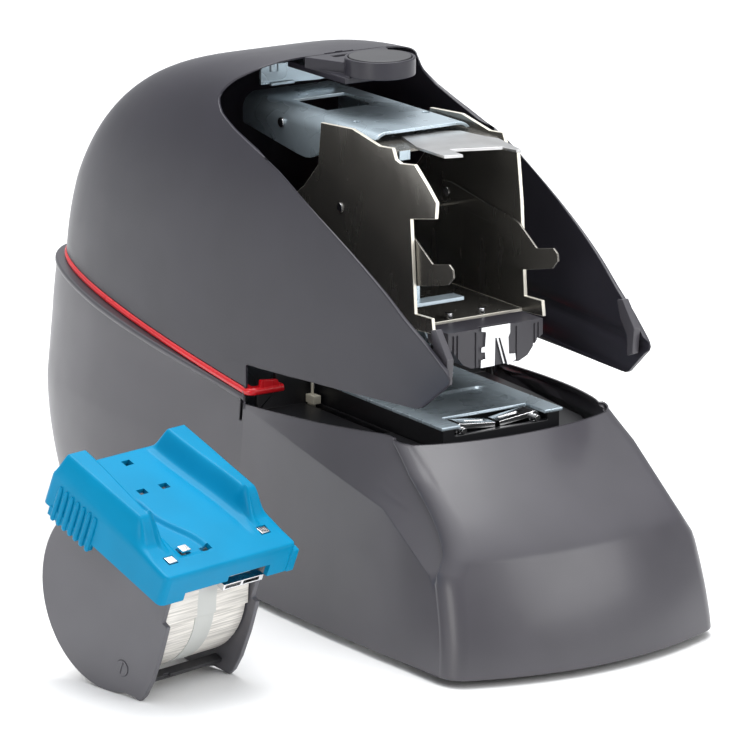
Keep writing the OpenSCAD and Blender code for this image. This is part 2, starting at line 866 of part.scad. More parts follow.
module hood_tongue() {
    color("#4a474f")
        difference() {
            union() {
                translate([0, 0, button_z - 4.4])
                    cylinder(r = 13.9, h = 7);
                translate([-16, 0, button_z - 6.9])
                    cube([32, 42, 2.6]);
                translate([0, 0, button_z - 4.4])
                    linear_extrude(4.6)
                        polygon([[-19, 25], [19, 25], [11, 5], [-11, 5]]);
            }
            translate([0, 0, button_z - 2.2])
                cylinder(r = 12.6, h = 20);
            translate([-9, 18, button_z - 1])
                cube([9, 3.6, 5]);
        }
}

module release_button() {
    color("#8a8990")
        translate([0, 0, button_z + 0.5])
            cylinder(r = 12.3, h = 2.4);
}

module door_arms() {
    color("#46434b")
        for (x = [-42.8, 42.8])
            side_sheet(x, 3, [
                [-101, 126.5], [-104.5, 127.5], [-112.5, 117.5], [-111.5, 107.5], [-108, 106],
                [-107.5, 114], [-103, 120]
            ]);
}

module upper_bracket() {
    color("#a9bcc6") {
        translate([0, bracket_y, 0])
            rotate([90, 0, 0])
                linear_extrude(1.6)
                    polygon([
                        [-18, 195.2], [-16.6, 197], [-5, 197], [6.3, 194.6], [16.8, 191.4],
                        [16.8, 189], [9.6, 188.2], [-8.4, 188.8], [-18, 189]
                    ]);
        for (x = [-12, 2])
            translate([x, bracket_y - 0.8, 194])
                cylinder(r = 2.2, h = 6.1);
        translate([-14, bracket_y - 3, 188.4])
            cube([11, 3, 1.2]);
    }
}

module circuit_board() {
    color("#1d6b3a")
        translate([-42, 134, 12])
            cube([84, 1.6, 58]);
    color("#17181a") {
        translate([-24, 128, 30])
            cube([16, 6, 16]);
        translate([8, 130.5, 22])
            cube([22, 3.5, 10]);
    }
    color("#b9bcc2")
        for (x = [-32, 20, 34])
            translate([x, 134, 56])
                rotate([90, 0, 0])
                    cylinder(r = 5, h = 9);
}

module paper_sensor_lever() {
    color("#e9e4d2")
        difference() {
            union() {
                bar(sensor_y, sensor_z, 3, 13.5, 16.5);
                side_sheet(15, 3, [
                    [-6, 71], [-2, 71], [-1, 75], [-4, 82], [-6, 88], [-9, 88.6], [-8.6, 84], [-6, 76]
                ]);
            }
            bar(sensor_y, sensor_z, 1.25, 10, 20);
        }
}

module sensor_pin() {
    color("#c9ccd0")
        bar(sensor_y, sensor_z, 1.2, 9, 21);
}

// ---- cassette, built in its own frame: x across, y towards its rear, z off the side plates ----

cas_round = [33.5, -22];
cas_low = sin(cas_tilt) * cas_round[0] + cos(cas_tilt) * cas_round[1] - cas_round_r;
cas_at = [-169, -111];
cas_mid = cas_w / 2;
cas_plate = 2.2;
cas_side = cas_body_w / 2 - cas_plate / 2;
spur = [3.4, (cas_low - 3.4 * sin(cas_tilt)) / cos(cas_tilt)];

module place_cassette() {
    translate([cas_at[0], cas_at[1], -cas_low])
        rotate([cas_tilt, 0, cas_turn])
            children();
}

module cassette_plate(x) {
    difference() {
        union() {
            intersection() {
                bar(cas_round[0], cas_round[1], cas_round_r, x - cas_plate / 2, x + cas_plate / 2);
                translate([x - 5, 8.5, -80])
                    cube([10, 80, 78]);
            }
            side_sheet(x, cas_plate, [
                [68.6, -10], [66, 2], [9, 2], [9, -49], [14, -46], [50, -30]
            ]);
            side_sheet(x, cas_plate, [
                [14, 2], [4.6, 1], [4.2, -12.6], [1.4, -12.9], [0.6, -26], [0.8, -38], [2, -45],
                spur, [spur[0] + 2.6, spur[1] - 0.4], [16.6, -51.2], [20, -46]
            ]);
        }
        bar(cas_round[0], cas_round[1], 3.05, min(cas_mid, x - 0.2), max(cas_mid, x + 0.2));
        bar(16, -41.6, 3, x - 5, x + 5);
    }
}

module cassette_plate_left() {
    color("#6a6870")
        place_cassette()
            cassette_plate(cas_mid - cas_side);
}

module cassette_plate_right() {
    color("#5f5d64")
        place_cassette()
            cassette_plate(cas_mid + cas_side);
}

module cassette_spindle() {
    color("#8d9096")
        place_cassette()
            bar(cas_round[0], cas_round[1], 3, cas_mid - cas_side - 0.1, cas_mid + cas_side + 0.1);
}

module cassette_pivot_screws() {
    color("#504e56")
        place_cassette()
            for (s = [-1, 1])
                difference() {
                    bar(16, -41.6, 3, cas_mid + s * cas_side - cas_plate / 2 - 0.3,
                        cas_mid + s * cas_side + cas_plate / 2 + 0.3);
                    translate([cas_mid + s * (cas_side + cas_plate / 2 + 0.3) - 0.4, 15.6, -44])
                        cube([0.8, 0.8, 4.8]);
                }
}

module cassette_crossbar() {
    color("#2c2b30")
        place_cassette()
            difference() {
                translate([cas_mid - cas_side + cas_plate / 2, 8.4, -45.8])
                    cube([2 * cas_side - cas_plate, 4, 1.8]);
                translate([cas_mid - 8, 7.4, -45.2])
                    cube([3, 2, 1.8]);
            }
}

module cassette_guide_clips() {
    color("#e4e4e2")
        place_cassette() {
            difference() {
                translate([cas_mid + 1, 1.6, -2.6])
                    cube([20, 3.6, 2.6]);
                translate([cas_mid + 2, 0, -2])
                    cube([7.8, 10, 1.4]);
                translate([cas_mid + 11, 0, -2])
                    cube([8, 10, 1.4]);
            }
            for (p = [[9, 7], [19, 11], [57, 9]])
                translate([p[0] - 2, p[1], 12.2])
                    cube([4, 3.4, 1]);
        }
}

roll_core = 9;

module staple_roll() {
    color("#dcd9d2")
        place_cassette()
            difference() {
                bar(cas_round[0], cas_round[1], roll_r, cas_mid - 20.6, cas_mid + 20.6);
                bar(cas_round[0], cas_round[1], roll_core, cas_mid - 30, cas_mid + 30);
            }
    color("#8a8890")
        place_cassette()
            difference() {
                bar(cas_round[0], cas_round[1], roll_core, cas_mid - 20.6, cas_mid + 20.6);
                bar(cas_round[0], cas_round[1], 3.05, cas_mid - 30, cas_mid + 30);
            }
}

// Straight run of staple wires from the roll up to the cassette's mouth
module staple_lead() {
    color("#dcd9d2")
        place_cassette()
            side_sheet(cas_mid, 41.2, [
                [5.1, -15], [7, -9.9], [9.5, -0.4], [8.5, -0.4], [6.2, -9.9], [4.4, -15]
            ]);
}

module roll_tape() {
    color("#b9bab8")
        place_cassette()
            difference() {
                bar(cas_round[0], cas_round[1], roll_r + 0.25, cas_mid - 5, cas_mid + 4.4);
                bar(cas_round[0], cas_round[1], roll_r, cas_mid - 30, cas_mid + 30);
            }
}

cover_t = 2.2;
cover_h = 13.5;
// How far the cover's side has come in at y
function cover_side(y) = 0.5 + (y - 2.5) / (cas_l - 7.5);

// Tapered grip ridge on the cover, from its rear towards the front
module ridge(x, lean) {
    hull() {
        translate([x, 63, cover_h - 1])
            cylinder(r1 = 7, r2 = 4.6, h = 9, $fn = 24);
        translate([x - lean, 26.5, cover_h - 1])
            cylinder(r1 = 6, r2 = 2.6, h = 9, $fn = 24);
        translate([x - lean, 18.5, cover_h - 1])
            cylinder(r = 4.6, h = 1, $fn = 24);
    }
}

module cassette_cover() {
    color("#00a3dc")
        place_cassette()
            difference() {
                union() {
                    difference() {
                        hull()
                            for (p = [[3, 2.5], [cas_w - 3, 2.5], [4, cas_l - 5], [cas_w - 4, cas_l - 5]])
                                translate([p[0], p[1], 0])
                                    cylinder(r = 2.5, h = cover_h, $fn = 24);
                        translate([cover_t, cover_t, -1])
                            cube([cas_w - 2 * cover_t, cas_l - 4.6 - cover_t, cover_h - cover_t + 1]);
                    }
                    ridge(8.6, 1);
                    ridge(cas_w - 8.6, -1);
                    for (s = [0, 1], i = [0:6])
                        let (y = 42 + i * 3.4)
                            translate([s * cas_w + (1 - 2 * s) * cover_side(y), y, 1.5])
                                cylinder(r = 0.9, h = 9, $fn = 16);
                    translate([cas_w - 2, 0, -1])
                        cube([4, 5, 10]);
                    for (s = [-1, 1])
                        translate([cas_mid + s * (cas_w / 2 - 1.1) - 1.1, 40, -4])
                            cube([2.2, 26, 5]);
                }
                for (p = [[9, 7], [19, 11], [57, 9]])
                    translate([p[0] - 2.4, p[1] - 0.3, 10])
                        cube([4.8, 4, 6]);
                for (p = [[27, 45], [38, 45], [34, 62], [28, 9]])
                    translate([p[0] - 2, p[1], 10])
                        cube([4, 3, 6]);
                translate([cas_mid - 20.9, -1, -1])
                    cube([41.8, 6, 5]);
            }
}

lower_housing();
hood();
red_trim_strip();
bottom_plate();
rubber_feet();
housing_screws();
chassis_plate_left();
chassis_plate_right();
chassis_cross_plate();
throat_tray();
anvil_tower();
platform_plate();
clincher_pins();
motor();
middle_axle();
head_shaft();
circuit_board();
power_inlet();
switch_bezel();
hood_tongue();
door_arms();
upper_bracket();
bay_frame();
zinc_arm();
arm_pin();
bridge_plate();
feed_guide();
nose_block();
former_clip();
bay_studs();
head_crossbar();
follower_rollers();
return_spring();
yoke();
yoke_pin();
driver_blade();
clincher_left();
clincher_right();
cam_shaft();
cams();
cam_gear();
middle_gear();
motor_pinion();
paper_stop();
rocker_switch();
release_button();
paper_sensor_lever();
sensor_pin();
cassette_cover();
cassette_plate_left();
cassette_plate_right();
cassette_spindle();
cassette_crossbar();
cassette_guide_clips();
cassette_pivot_screws();
staple_lead();
staple_roll();
roll_tape();
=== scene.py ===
"""Electric stapler and its staple cassette: the visible pieces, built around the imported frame."""

import json
import math
import random

import bmesh
import bpy
from mathutils import Matrix, Vector

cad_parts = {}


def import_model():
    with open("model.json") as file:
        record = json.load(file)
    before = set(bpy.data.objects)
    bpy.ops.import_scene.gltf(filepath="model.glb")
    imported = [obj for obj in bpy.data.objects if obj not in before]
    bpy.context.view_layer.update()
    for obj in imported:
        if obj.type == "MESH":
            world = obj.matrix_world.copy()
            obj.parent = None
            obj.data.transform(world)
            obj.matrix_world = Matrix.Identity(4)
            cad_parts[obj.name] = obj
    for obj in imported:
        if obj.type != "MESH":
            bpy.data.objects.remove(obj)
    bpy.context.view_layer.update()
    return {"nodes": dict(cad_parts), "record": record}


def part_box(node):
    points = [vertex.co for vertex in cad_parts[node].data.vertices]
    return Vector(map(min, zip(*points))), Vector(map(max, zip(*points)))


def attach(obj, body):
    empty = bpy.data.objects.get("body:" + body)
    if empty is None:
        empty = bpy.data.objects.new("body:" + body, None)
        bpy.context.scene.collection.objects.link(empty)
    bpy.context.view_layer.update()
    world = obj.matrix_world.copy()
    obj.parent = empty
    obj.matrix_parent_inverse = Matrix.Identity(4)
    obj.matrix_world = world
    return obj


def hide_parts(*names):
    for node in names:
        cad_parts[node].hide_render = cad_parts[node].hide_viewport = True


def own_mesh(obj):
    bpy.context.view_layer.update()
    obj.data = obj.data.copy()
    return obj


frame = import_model()

MM = 0.001
body_of = {n: b for b, ns in frame["record"]["behaviour"]["bodies"].items() for n in ns}
slot_of = {s["node"]: s["material_slot"] for s in frame["record"]["subparts"]}


# ---- where the cassette stands ----

def cassette_place():
    """From the cassette's own millimetres to the frame's, found from its spindle and cover."""
    tilt, turn = math.radians(22.4), math.radians(11.5)
    round_y, round_z, radius = 33.5, -22.0, 35.5
    lift = radius - math.sin(tilt) * round_y - math.cos(tilt) * round_z
    return (Matrix.Translation((-169 * MM, -111 * MM, lift * MM))
            @ Matrix.Rotation(turn, 4, "Z") @ Matrix.Rotation(tilt, 4, "X"))


# ---- materials ----

def node(tree, kind, **inputs):
    """A shader node, with its inputs set or linked by name."""
    made = tree.nodes.new("ShaderNode" + kind)
    for key, value in inputs.items():
        socket = made.inputs[key.replace("_", " ")]
        if isinstance(value, bpy.types.NodeSocket):
            tree.links.new(value, socket)
        else:
            socket.default_value = value
    return made


def texture_space(tree, stretch=(1, 1, 1), turn=None):
    """Object coordinates, turned back by the angles in turn and then stretched."""
    space = tree.nodes.new("ShaderNodeTexCoord").outputs["Object"]
    if turn is not None:
        turned = node(tree, "Mapping", Vector=space, Rotation=turn)
        turned.vector_type = "TEXTURE"
        space = turned.outputs[0]
    return node(tree, "Mapping", Vector=space, Scale=stretch).outputs[0]


def noise(tree, size_mm, detail=3.0, stretch=(1, 1, 1), turn=None):
    """Noise with features of about size_mm, as a 0 to 1 socket."""
    space = texture_space(tree, stretch, turn)
    made = node(tree, "TexNoise", Vector=space, Scale=1000 / size_mm, Detail=detail)
    return made.outputs["Fac"]


def between(tree, value, low, high, start=0.3, end=0.7, kind="LINEAR"):
    """A value turned into low to high as it goes from start to end."""
    made = node(tree, "MapRange", Value=value, From_Min=start, From_Max=end, To_Min=low,
                To_Max=high)
    made.interpolation_type = kind
    return made.outputs[0]


def mixed(tree, value, first, second):
    """A noise value as a blend of two colours."""
    ramp = tree.nodes.new("ShaderNodeValToRGB")
    tree.links.new(value, ramp.inputs[0])
    ramp.color_ramp.elements[0].position = 0.35
    ramp.color_ramp.elements[1].position = 0.65
    ramp.color_ramp.elements[0].color = (*first, 1)
    ramp.color_ramp.elements[1].color = (*second, 1)
    return ramp.outputs[0]


def bump(tree, height, depth_mm, strength=1.0, under=None):
    """A normal socket from a height value, on top of another normal where one is given."""
    made = node(tree, "Bump", Height=height, Distance=depth_mm * MM, Strength=strength)
    if under is not None:
        tree.links.new(under, made.inputs["Normal"])
    return made.outputs[0]


def shade(colour, factor):
    return tuple(min(1.0, c * factor) for c in colour)


def moulded(name, colour, rough, grain_mm=0.35, grain_depth=0.002, coat=0.0, sheen=0.06,
            specular=0.5):
    """Injection-moulded plastic: spark-eroded grain, soft mottling and uneven gloss."""
    made = bpy.data.materials.new(name)
    made.use_nodes = True
    tree = made.node_tree
    shader = tree.nodes["Principled BSDF"]
    mottle = mixed(tree, noise(tree, 30, 2), shade(colour, 1 - sheen), shade(colour, 1 + sheen))
    tree.links.new(mottle, shader.inputs["Base Color"])
    gloss = between(tree, noise(tree, 14, 1), rough - 0.02, rough + 0.02)
    tree.links.new(gloss, shader.inputs["Roughness"])
    fine = bump(tree, noise(tree, grain_mm, 2), grain_depth)
    tree.links.new(bump(tree, noise(tree, 22, 1), 0.02, 0.5, fine), shader.inputs["Normal"])
    shader.inputs["Specular IOR Level"].default_value = specular
    shader.inputs["Coat Weight"].default_value = coat
    shader.inputs["Coat Roughness"].default_value = 0.12
    return made


def sheet_metal(name, colour, rough, stretch, streak_mm=0.5, blotch=0.08, streak_depth=0.002,
                metallic=1.0):
    """Rolled or drawn metal: fine streaks along one axis, cloudy colour and uneven gloss."""
    made = bpy.data.materials.new(name)
    made.use_nodes = True
    tree = made.node_tree
    shader = tree.nodes["Principled BSDF"]
    shader.inputs["Metallic"].default_value = metallic
    cloud = mixed(tree, noise(tree, 12, 4), shade(colour, 1 - blotch), shade(colour, 1 + blotch))
    tree.links.new(cloud, shader.inputs["Base Color"])
    streaks = noise(tree, streak_mm, 3, stretch)
    tree.links.new(between(tree, streaks, rough - 0.05, rough + 0.07), shader.inputs["Roughness"])
    tree.links.new(bump(tree, streaks, streak_depth), shader.inputs["Normal"])
    return made


def zinc_plate(name, colour, rough):
    """Zinc plating: large faint crystals under a bluish haze."""
    made = bpy.data.materials.new(name)
    made.use_nodes = True
    tree = made.node_tree
    shader = tree.nodes["Principled BSDF"]
    shader.inputs["Metallic"].default_value = 0.55
    crystals = node(tree, "TexVoronoi", Vector=texture_space(tree), Scale=170.0)
    grey = node(tree, "RGBToBW", Color=crystals.outputs["Color"]).outputs[0]
    tint = mixed(tree, grey, shade(colour, 0.98), shade(colour, 1.02))
    tree.links.new(tint, shader.inputs["Base Color"])
    gloss = between(tree, noise(tree, 9, 0), rough - 0.03, rough + 0.05)
    tree.links.new(gloss, shader.inputs["Roughness"])
    tree.links.new(bump(tree, noise(tree, 12, 0), 0.01), shader.inputs["Normal"])
    return made


def wire_stack(name, colour):
    """Glued staple wires: bright strands with darker streaks along them, painted shade of the
    grooves between the wires, and matching roughness and bumps.
    """
    made = bpy.data.materials.new(name)
    made.use_nodes = True
    tree = made.node_tree
    shader = tree.nodes["Principled BSDF"]
    shader.inputs["Metallic"].default_value = 0.35
    along = cassette_place().to_euler()
    streaks_and_groove_shade = noise(tree, 0.55, 3, (0.03, 1, 1), along)
    # Darker streaks in the colour: painted shade between the wires.
    tree.links.new(mixed(tree, streaks_and_groove_shade, shade(colour, 0.62), colour), shader.inputs["Base Color"])
    tree.links.new(between(tree, streaks_and_groove_shade, 0.38, 0.5), shader.inputs["Roughness"])
    tree.links.new(bump(tree, streaks_and_groove_shade, 0.02), shader.inputs["Normal"])
    return made


materials = {
    "hood_plastic": moulded("hood_plastic", (0.027, 0.0255, 0.034), 0.34, coat=0.03,
                            specular=0.36),
    "housing_plastic": moulded("housing_plastic", (0.055, 0.052, 0.061), 0.34, coat=0.08),
    "button_plastic": moulded("button_plastic", (0.040, 0.040, 0.044), 0.36),
    "red_plastic": moulded("red_plastic", (0.60, 0.008, 0.014), 0.26, coat=0.12),
    "black_plastic": moulded("black_plastic", (0.010, 0.010, 0.012), 0.38),
    "nose_plastic": moulded("nose_plastic", (0.035, 0.033, 0.040), 0.36),
    "rubber": moulded("rubber", (0.018, 0.018, 0.018), 0.75, 0.5, 0.03),
    "zinc": zinc_plate("zinc", (0.47, 0.56, 0.62), 0.28),
    "bright_steel": sheet_metal("bright_steel", (0.72, 0.72, 0.73), 0.2, (0.05, 1, 1)),
    "nickel_plate": sheet_metal("nickel_plate", (0.20, 0.19, 0.172), 0.23, (1, 1, 0.2), 9.0,
                                0.04, 0.0, 0.75),
    "cut_edge": sheet_metal("cut_edge", (0.90, 0.86, 0.76), 0.34, (0.05, 1, 1), metallic=0.6),
    "motor_can": sheet_metal("motor_can", (0.45, 0.46, 0.48), 0.32, (0.05, 1, 1)),
    "gear_plastic": moulded("gear_plastic", (0.72, 0.68, 0.56), 0.4),
    "brass": sheet_metal("brass", (0.72, 0.48, 0.17), 0.25, (0.05, 1, 1)),
    "circuit_green": moulded("circuit_green", (0.015, 0.12, 0.045), 0.3, 1.2, 0.02),
    "blue_plastic": moulded("blue_plastic", (0.0, 0.205, 0.385), 0.34, specular=0.12),
    "cassette_grey": moulded("cassette_grey", (0.095, 0.093, 0.104), 0.42),
    "cassette_dark": moulded("cassette_dark", (0.025, 0.025, 0.028), 0.4),
    "staple_wire": wire_stack("staple_wire", (0.80, 0.77, 0.72)),
    "tape": moulded("tape", (0.50, 0.51, 0.49), 0.55, 0.8, 0.02),
    "former_metal": sheet_metal("former_metal", (0.60, 0.60, 0.60), 0.33, (0.05, 1, 1)),
    # The inner faces of the hood and housing, and the walls of the housing's holes: the same
    # plastic made much darker, as painted shade.
    "painted_shade_inside": moulded("painted_shade_inside", (0.0065, 0.0065, 0.0075), 0.36),
}


# ---- mesh tools ----

def mesh_object(name, verts, faces, face_slots=None):
    """A linked object from points in millimetres."""
    mesh = bpy.data.meshes.new(name)
    mesh.from_pydata([Vector(v) * MM for v in verts], [], faces)
    if face_slots is not None:
        mesh.polygons.foreach_set("material_index", face_slots)
    obj = bpy.data.objects.new(name, mesh)
    bpy.context.scene.collection.objects.link(obj)
    return obj


def settle(obj):
    """Replaces the object's mesh with its evaluated one, and clears its modifiers."""
    graph = bpy.context.evaluated_depsgraph_get()
    mesh = bpy.data.meshes.new_from_object(
        obj.evaluated_get(graph), preserve_all_data_layers=True, depsgraph=graph)
    old = obj.data
    obj.modifiers.clear()
    obj.data = mesh
    mesh.name = obj.name
    bpy.data.meshes.remove(old)


def modify(obj, kind, **settings):
    made = obj.modifiers.new(kind.title(), kind)
    for key, value in settings.items():
        setattr(made, key, value)
    return made


def round_edges(obj, width_mm, segments=3, angle=30):
    modify(obj, "BEVEL", width=width_mm * MM, segments=segments, limit_method="ANGLE",
           angle_limit=math.radians(angle), use_clamp_overlap=False, miter_outer="MITER_ARC")


def smooth(obj, angle=38):
    """Smooth shading with edges sharp above the angle and large flat faces kept flat."""
    obj.data.shade_smooth()
    obj.data.set_sharp_from_angle(angle=math.radians(angle))
    modify(obj, "WEIGHTED_NORMAL", keep_sharp=True, weight=60)
    settle(obj)


def weld(obj, distance_mm, flat_angle=None):
    """Merges close points, drops empty faces and, with an angle, joins faces flatter than it."""
    bm = bmesh.new()
    bm.from_mesh(obj.data)
    bmesh.ops.remove_doubles(bm, verts=bm.verts, dist=distance_mm * MM)
    bmesh.ops.dissolve_degenerate(bm, edges=bm.edges, dist=distance_mm * MM)
    if flat_angle is not None:
        bmesh.ops.dissolve_limit(bm, angle_limit=math.radians(flat_angle),
                                 verts=bm.verts, edges=bm.edges)
    bmesh.ops.recalc_face_normals(bm, faces=bm.faces)
    bm.to_mesh(obj.data)
    bm.free()


def dress(obj, nodes, *looks):
    """Gives a finished piece its materials, its body and the CAD nodes it stands for."""
    kept = [p.material_index if len(looks) > 1 else 0 for p in obj.data.polygons]
    obj.data.materials.clear()
    for look in looks:
        obj.data.materials.append(materials[look])
    obj.data.polygons.foreach_set("material_index", kept)
    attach(obj, body_of[nodes[0]])
    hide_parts(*nodes)
    return obj


def join(name, objects):
    """One object from several, keeping each one's faces and material slots."""
    bm = bmesh.new()
    for obj in objects:
        bm.from_mesh(obj.data)
    mesh = bpy.data.meshes.new(name)
    bm.to_mesh(mesh)
    bm.free()
    for obj in objects:
        bpy.data.objects.remove(obj)
    made = bpy.data.objects.new(name, mesh)
    bpy.context.scene.collection.objects.link(made)
    return made


def softened(name, width_mm, segments=2, dressed=True):
    """A finer copy of a CAD node: flat faces made whole, and its edges rounded."""
    mesh = frame["nodes"][name].data.copy()
    obj = bpy.data.objects.new(name + "_piece", mesh)
    bpy.context.scene.collection.objects.link(obj)
    weld(obj, 0.01, 0.6)
    if width_mm > 0:
        round_edges(obj, width_mm, segments)
        settle(obj)
    smooth(obj)
    return dress(obj, [name], slot_of[name]) if dressed else obj


def grid_faces(rows, count, closed=True):
    """Quads between rows of count points each, which close into rings or not."""
    return [(j * count + i, j * count + (i + 1) % count,
             (j + 1) * count + (i + 1) % count, (j + 1) * count + i)
            for j in range(rows - 1) for i in range(count if closed else count - 1)]


def loft(name, rings):
    """Solid through closed rings of equal length. Its first end cap is in slot 1."""
    count = len(rings[0])
    verts = [p for ring in rings for p in ring]
    faces = grid_faces(len(rings), count)
    slots = [0] * len(faces) + [1, 0]
    faces.append(tuple(range(count - 1, -1, -1)))
    faces.append(tuple((len(rings) - 1) * count + i for i in range(count)))
    return mesh_object(name, verts, faces, slots)


def prism(name, outline, half_width, at=0.0):
    """An outline of (y, z) points made solid along X, around x = at, all in slot 1."""
    count = len(outline)
    verts = [(at + s * half_width, y, z) for s in (-1, 1) for y, z in outline]
    faces = [tuple(range(count)), tuple(range(2 * count - 1, count - 1, -1))]
    faces += [(i, i + count, (i + 1) % count + count, (i + 1) % count) for i in range(count)]
    return mesh_object(name, verts, faces, [1] * len(faces))


def block(name, low, high):
    """Box between two corners, all in slot 1."""
    outline = [(low[1], low[2]), (high[1], low[2]), (high[1], high[2]), (low[1], high[2])]
    return prism(name, outline, (high[0] - low[0]) / 2, at=(low[0] + high[0]) / 2)


def two_slots(obj):
    """Fills the object up to two material slots, so that a cut can tell its faces apart."""
    while len(obj.data.materials) < 2:
        obj.data.materials.append(materials["black_plastic"])


def cut(obj, cutters):
    """Subtracts closed cutters one after another, keeping which faces they left."""
    two_slots(obj)
    for cutter in cutters:
        bm = bmesh.new()
        bm.from_mesh(cutter.data)
        bmesh.ops.recalc_face_normals(bm, faces=bm.faces)
        bm.to_mesh(cutter.data)
        bm.free()
        two_slots(cutter)
        modify(obj, "BOOLEAN", operation="DIFFERENCE", solver="EXACT", object=cutter)
        settle(obj)
        bpy.data.objects.remove(cutter)


def finish(obj, width_mm, segments, edge_angle, smooth_angle):
    """Rounds the edges sharper than one angle, and shades smooth below the other."""
    round_edges(obj, width_mm, segments, edge_angle)
    settle(obj)
    smooth(obj, smooth_angle)


def clamp(value, low, high):
    return max(low, min(high, value))


def smoothstep(low, high, value):
    t = clamp((value - low) / (high - low), 0.0, 1.0)
    return t * t * (3 - 2 * t)


def spline(points, steps):
    """Points along a Catmull-Rom curve through the given (y, z) points."""
    ends = [points[0]] + list(points) + [points[-1]]
    out = []
    for a, b, c, d in zip(ends, ends[1:], ends[2:], ends[3:]):
        for i in range(steps):
            t = i / steps
            out.append(tuple(
                0.5 * (2 * q + (r - p) * t + (2 * p - 5 * q + 4 * r - s) * t * t
                       + (3 * q - p - 3 * r + s) * t ** 3)
                for p, q, r, s in zip(a, b, c, d)))
    return out + [tuple(points[-1])]


# ---- casing outline, in millimetres, as in the frame ----

CASE_HALF_W = 64.5
CASE_H = 206.0
REAR_Y = 171.0
WALL = 2.5
# Joint between hood and housing: its height at the throat, its rise to the rear, the strip in it
SEAM_Z = 83.0
SEAM_SLOPE = 0.155
TRIM_T = 3.0
# The paper throat ends here
THROAT_Y = 5.0
# The plan and the crown are superellipses with these powers, centred on MID_Y and BASE_Z
PLAN_POWER = 7.3
PLAN_POWER_DROP = 1.8
REAR_POWER = 3.2
TOP_POWER = 2.4
MID_Y = -20.0
BASE_Z = 80.0
REACH_Y = REAR_Y - MID_Y
# The crown's plan gets rounder above this height
SHOULDER_Z = 140.0
# The casing is widest here, and its width falls with the square of the distance to the front
WIDEST_Y = 140.0
TAPER_LENGTH = 240.0
TAPER = 0.243
# How far the lower housing stands out behind the throat, at its rim and lower down
REAR_STEP = 2.6
REAR_SWELL = 6.4


def taper(y):
    """Half width at y as a share of the full one."""
    return 1 - TAPER * clamp((WIDEST_Y - y) / TAPER_LENGTH, 0, 2) ** 2


def top_k(z):
    """What the crown's curve leaves of the plan at height z, from 1 down to 0."""
    return 1 - clamp((z - BASE_Z) / (CASE_H - BASE_Z), 0, 1) ** TOP_POWER


def plan_power(z):
    return PLAN_POWER - PLAN_POWER_DROP * max(0.0, (z - SHOULDER_Z) / (CASE_H - SHOULDER_Z))


def joint_z(y):
    return SEAM_Z + SEAM_SLOPE * (y - THROAT_Y)


def wall(obj):
    """Gives an outward-facing skin its thickness, with the inner side in slot 1."""
    modify(obj, "SOLIDIFY", thickness=WALL * MM, offset=-1.0, use_even_offset=True,
           thickness_clamp=1.0, material_offset=1)
    settle(obj)


def resampled(points, count):
    """The polyline as count + 1 points, evenly spaced along it."""
    points = [Vector(p) for p in points]
    lengths = [0.0]
    for a, b in zip(points, points[1:]):
        lengths.append(lengths[-1] + (b - a).length)
    out, at = [], 0
    for i in range(count + 1):
        want = lengths[-1] * i / count
        while at < len(points) - 2 and lengths[at + 1] < want:
            at += 1
        step = lengths[at + 1] - lengths[at]
        share = clamp((want - lengths[at]) / max(step, 1e-9), 0, 1)
        out.append(points[at].lerp(points[at + 1], share))
    return out


# The hood's front edge seen from the side, as (z, y), from the joint line up to the crown
FRONT_EDGE = [(83, 4), (92.4, 4), (96.4, -98.5), (97.4, -101.5), (109.2, -116.2), (110.8, -117),
              (112.4, -116.2)]
FRONT_EDGE += [(z, y) for y, z in spline(
    [(-114.4, 114), (-103, 122), (-91.6, 128.8), (-80, 136.6), (-67.5, 143.8), (-53.6, 151),
     (-39, 158), (-23.8, 165), (-9, 171.6), (12, 178.2), (24, 181.8), (35, 186)], 4)]
FRONT_EDGE += [(188.5, 38.8), (191, 41), (193.5, 41), (197.5, 38), (202.5, 31), (205, 28.4),
               (206.2, 26.8), (207.4, 25)]


def hood_front(z):
    for (z0, y0), (z1, y1) in zip(FRONT_EDGE, FRONT_EDGE[1:]):
        if z <= z1:
            return y0 + (y1 - y0) * clamp((z - z0) / (z1 - z0), 0, 1)
    return FRONT_EDGE[-1][1]


# Columns ahead of the throat on each half of the hood, and on the whole half
HOOD_FRONT_COLUMNS, HOOD_COLUMNS = 56, 140


def hood_half(level):
    """Right half of one level of the hood; low levels rise to the rear with the joint line."""
    rear_columns = HOOD_COLUMNS - HOOD_FRONT_COLUMNS
    fade = 1 - smoothstep(SEAM_Z, 142, level)
    start = hood_front(level)
    dense = [(start + (MID_Y - start) * i / 60, None) for i in range(60)] if start < MID_Y else []
    dense += [(None, i / 240) for i in range(241)]
    first = 0.0
    if start > MID_Y:
        k = top_k(level)
        forward = ((start - MID_Y) / REACH_Y) ** REAR_POWER
        first = math.asin(math.sqrt(min(1.0, forward / k)))
    points = []
    for side_y, share in dense:
        y, z = side_y if share is None else start, level
        for _ in range(5):
            z = level + SEAM_SLOPE * max(0.0, y - THROAT_Y) * fade
            k = top_k(z)
            if share is not None:
                angle = first + (math.pi / 2 - first) * share
                y = MID_Y + REACH_Y * (k * math.sin(angle) ** 2) ** (1 / REAR_POWER)
        rear = (max(0.0, y - MID_Y) / REACH_Y) ** REAR_POWER
        across = max(0.0, k - rear) ** (1 / plan_power(z))
        x = 0.0 if share == 1 else CASE_HALF_W * taper(y) * across
        points.append(Vector((x, y, z)))
    split = sum(p.y < THROAT_Y for p in points)
    if split == 0:
        return [points[0]] * HOOD_FRONT_COLUMNS + resampled(points, rear_columns)
    before, after = points[split - 1], points[split]
    meet = before.lerp(after, (THROAT_Y - before.y) / (after.y - before.y))
    ahead = resampled(points[:split] + [meet], HOOD_FRONT_COLUMNS)
    return ahead[:-1] + resampled([meet] + points[split:], rear_columns)


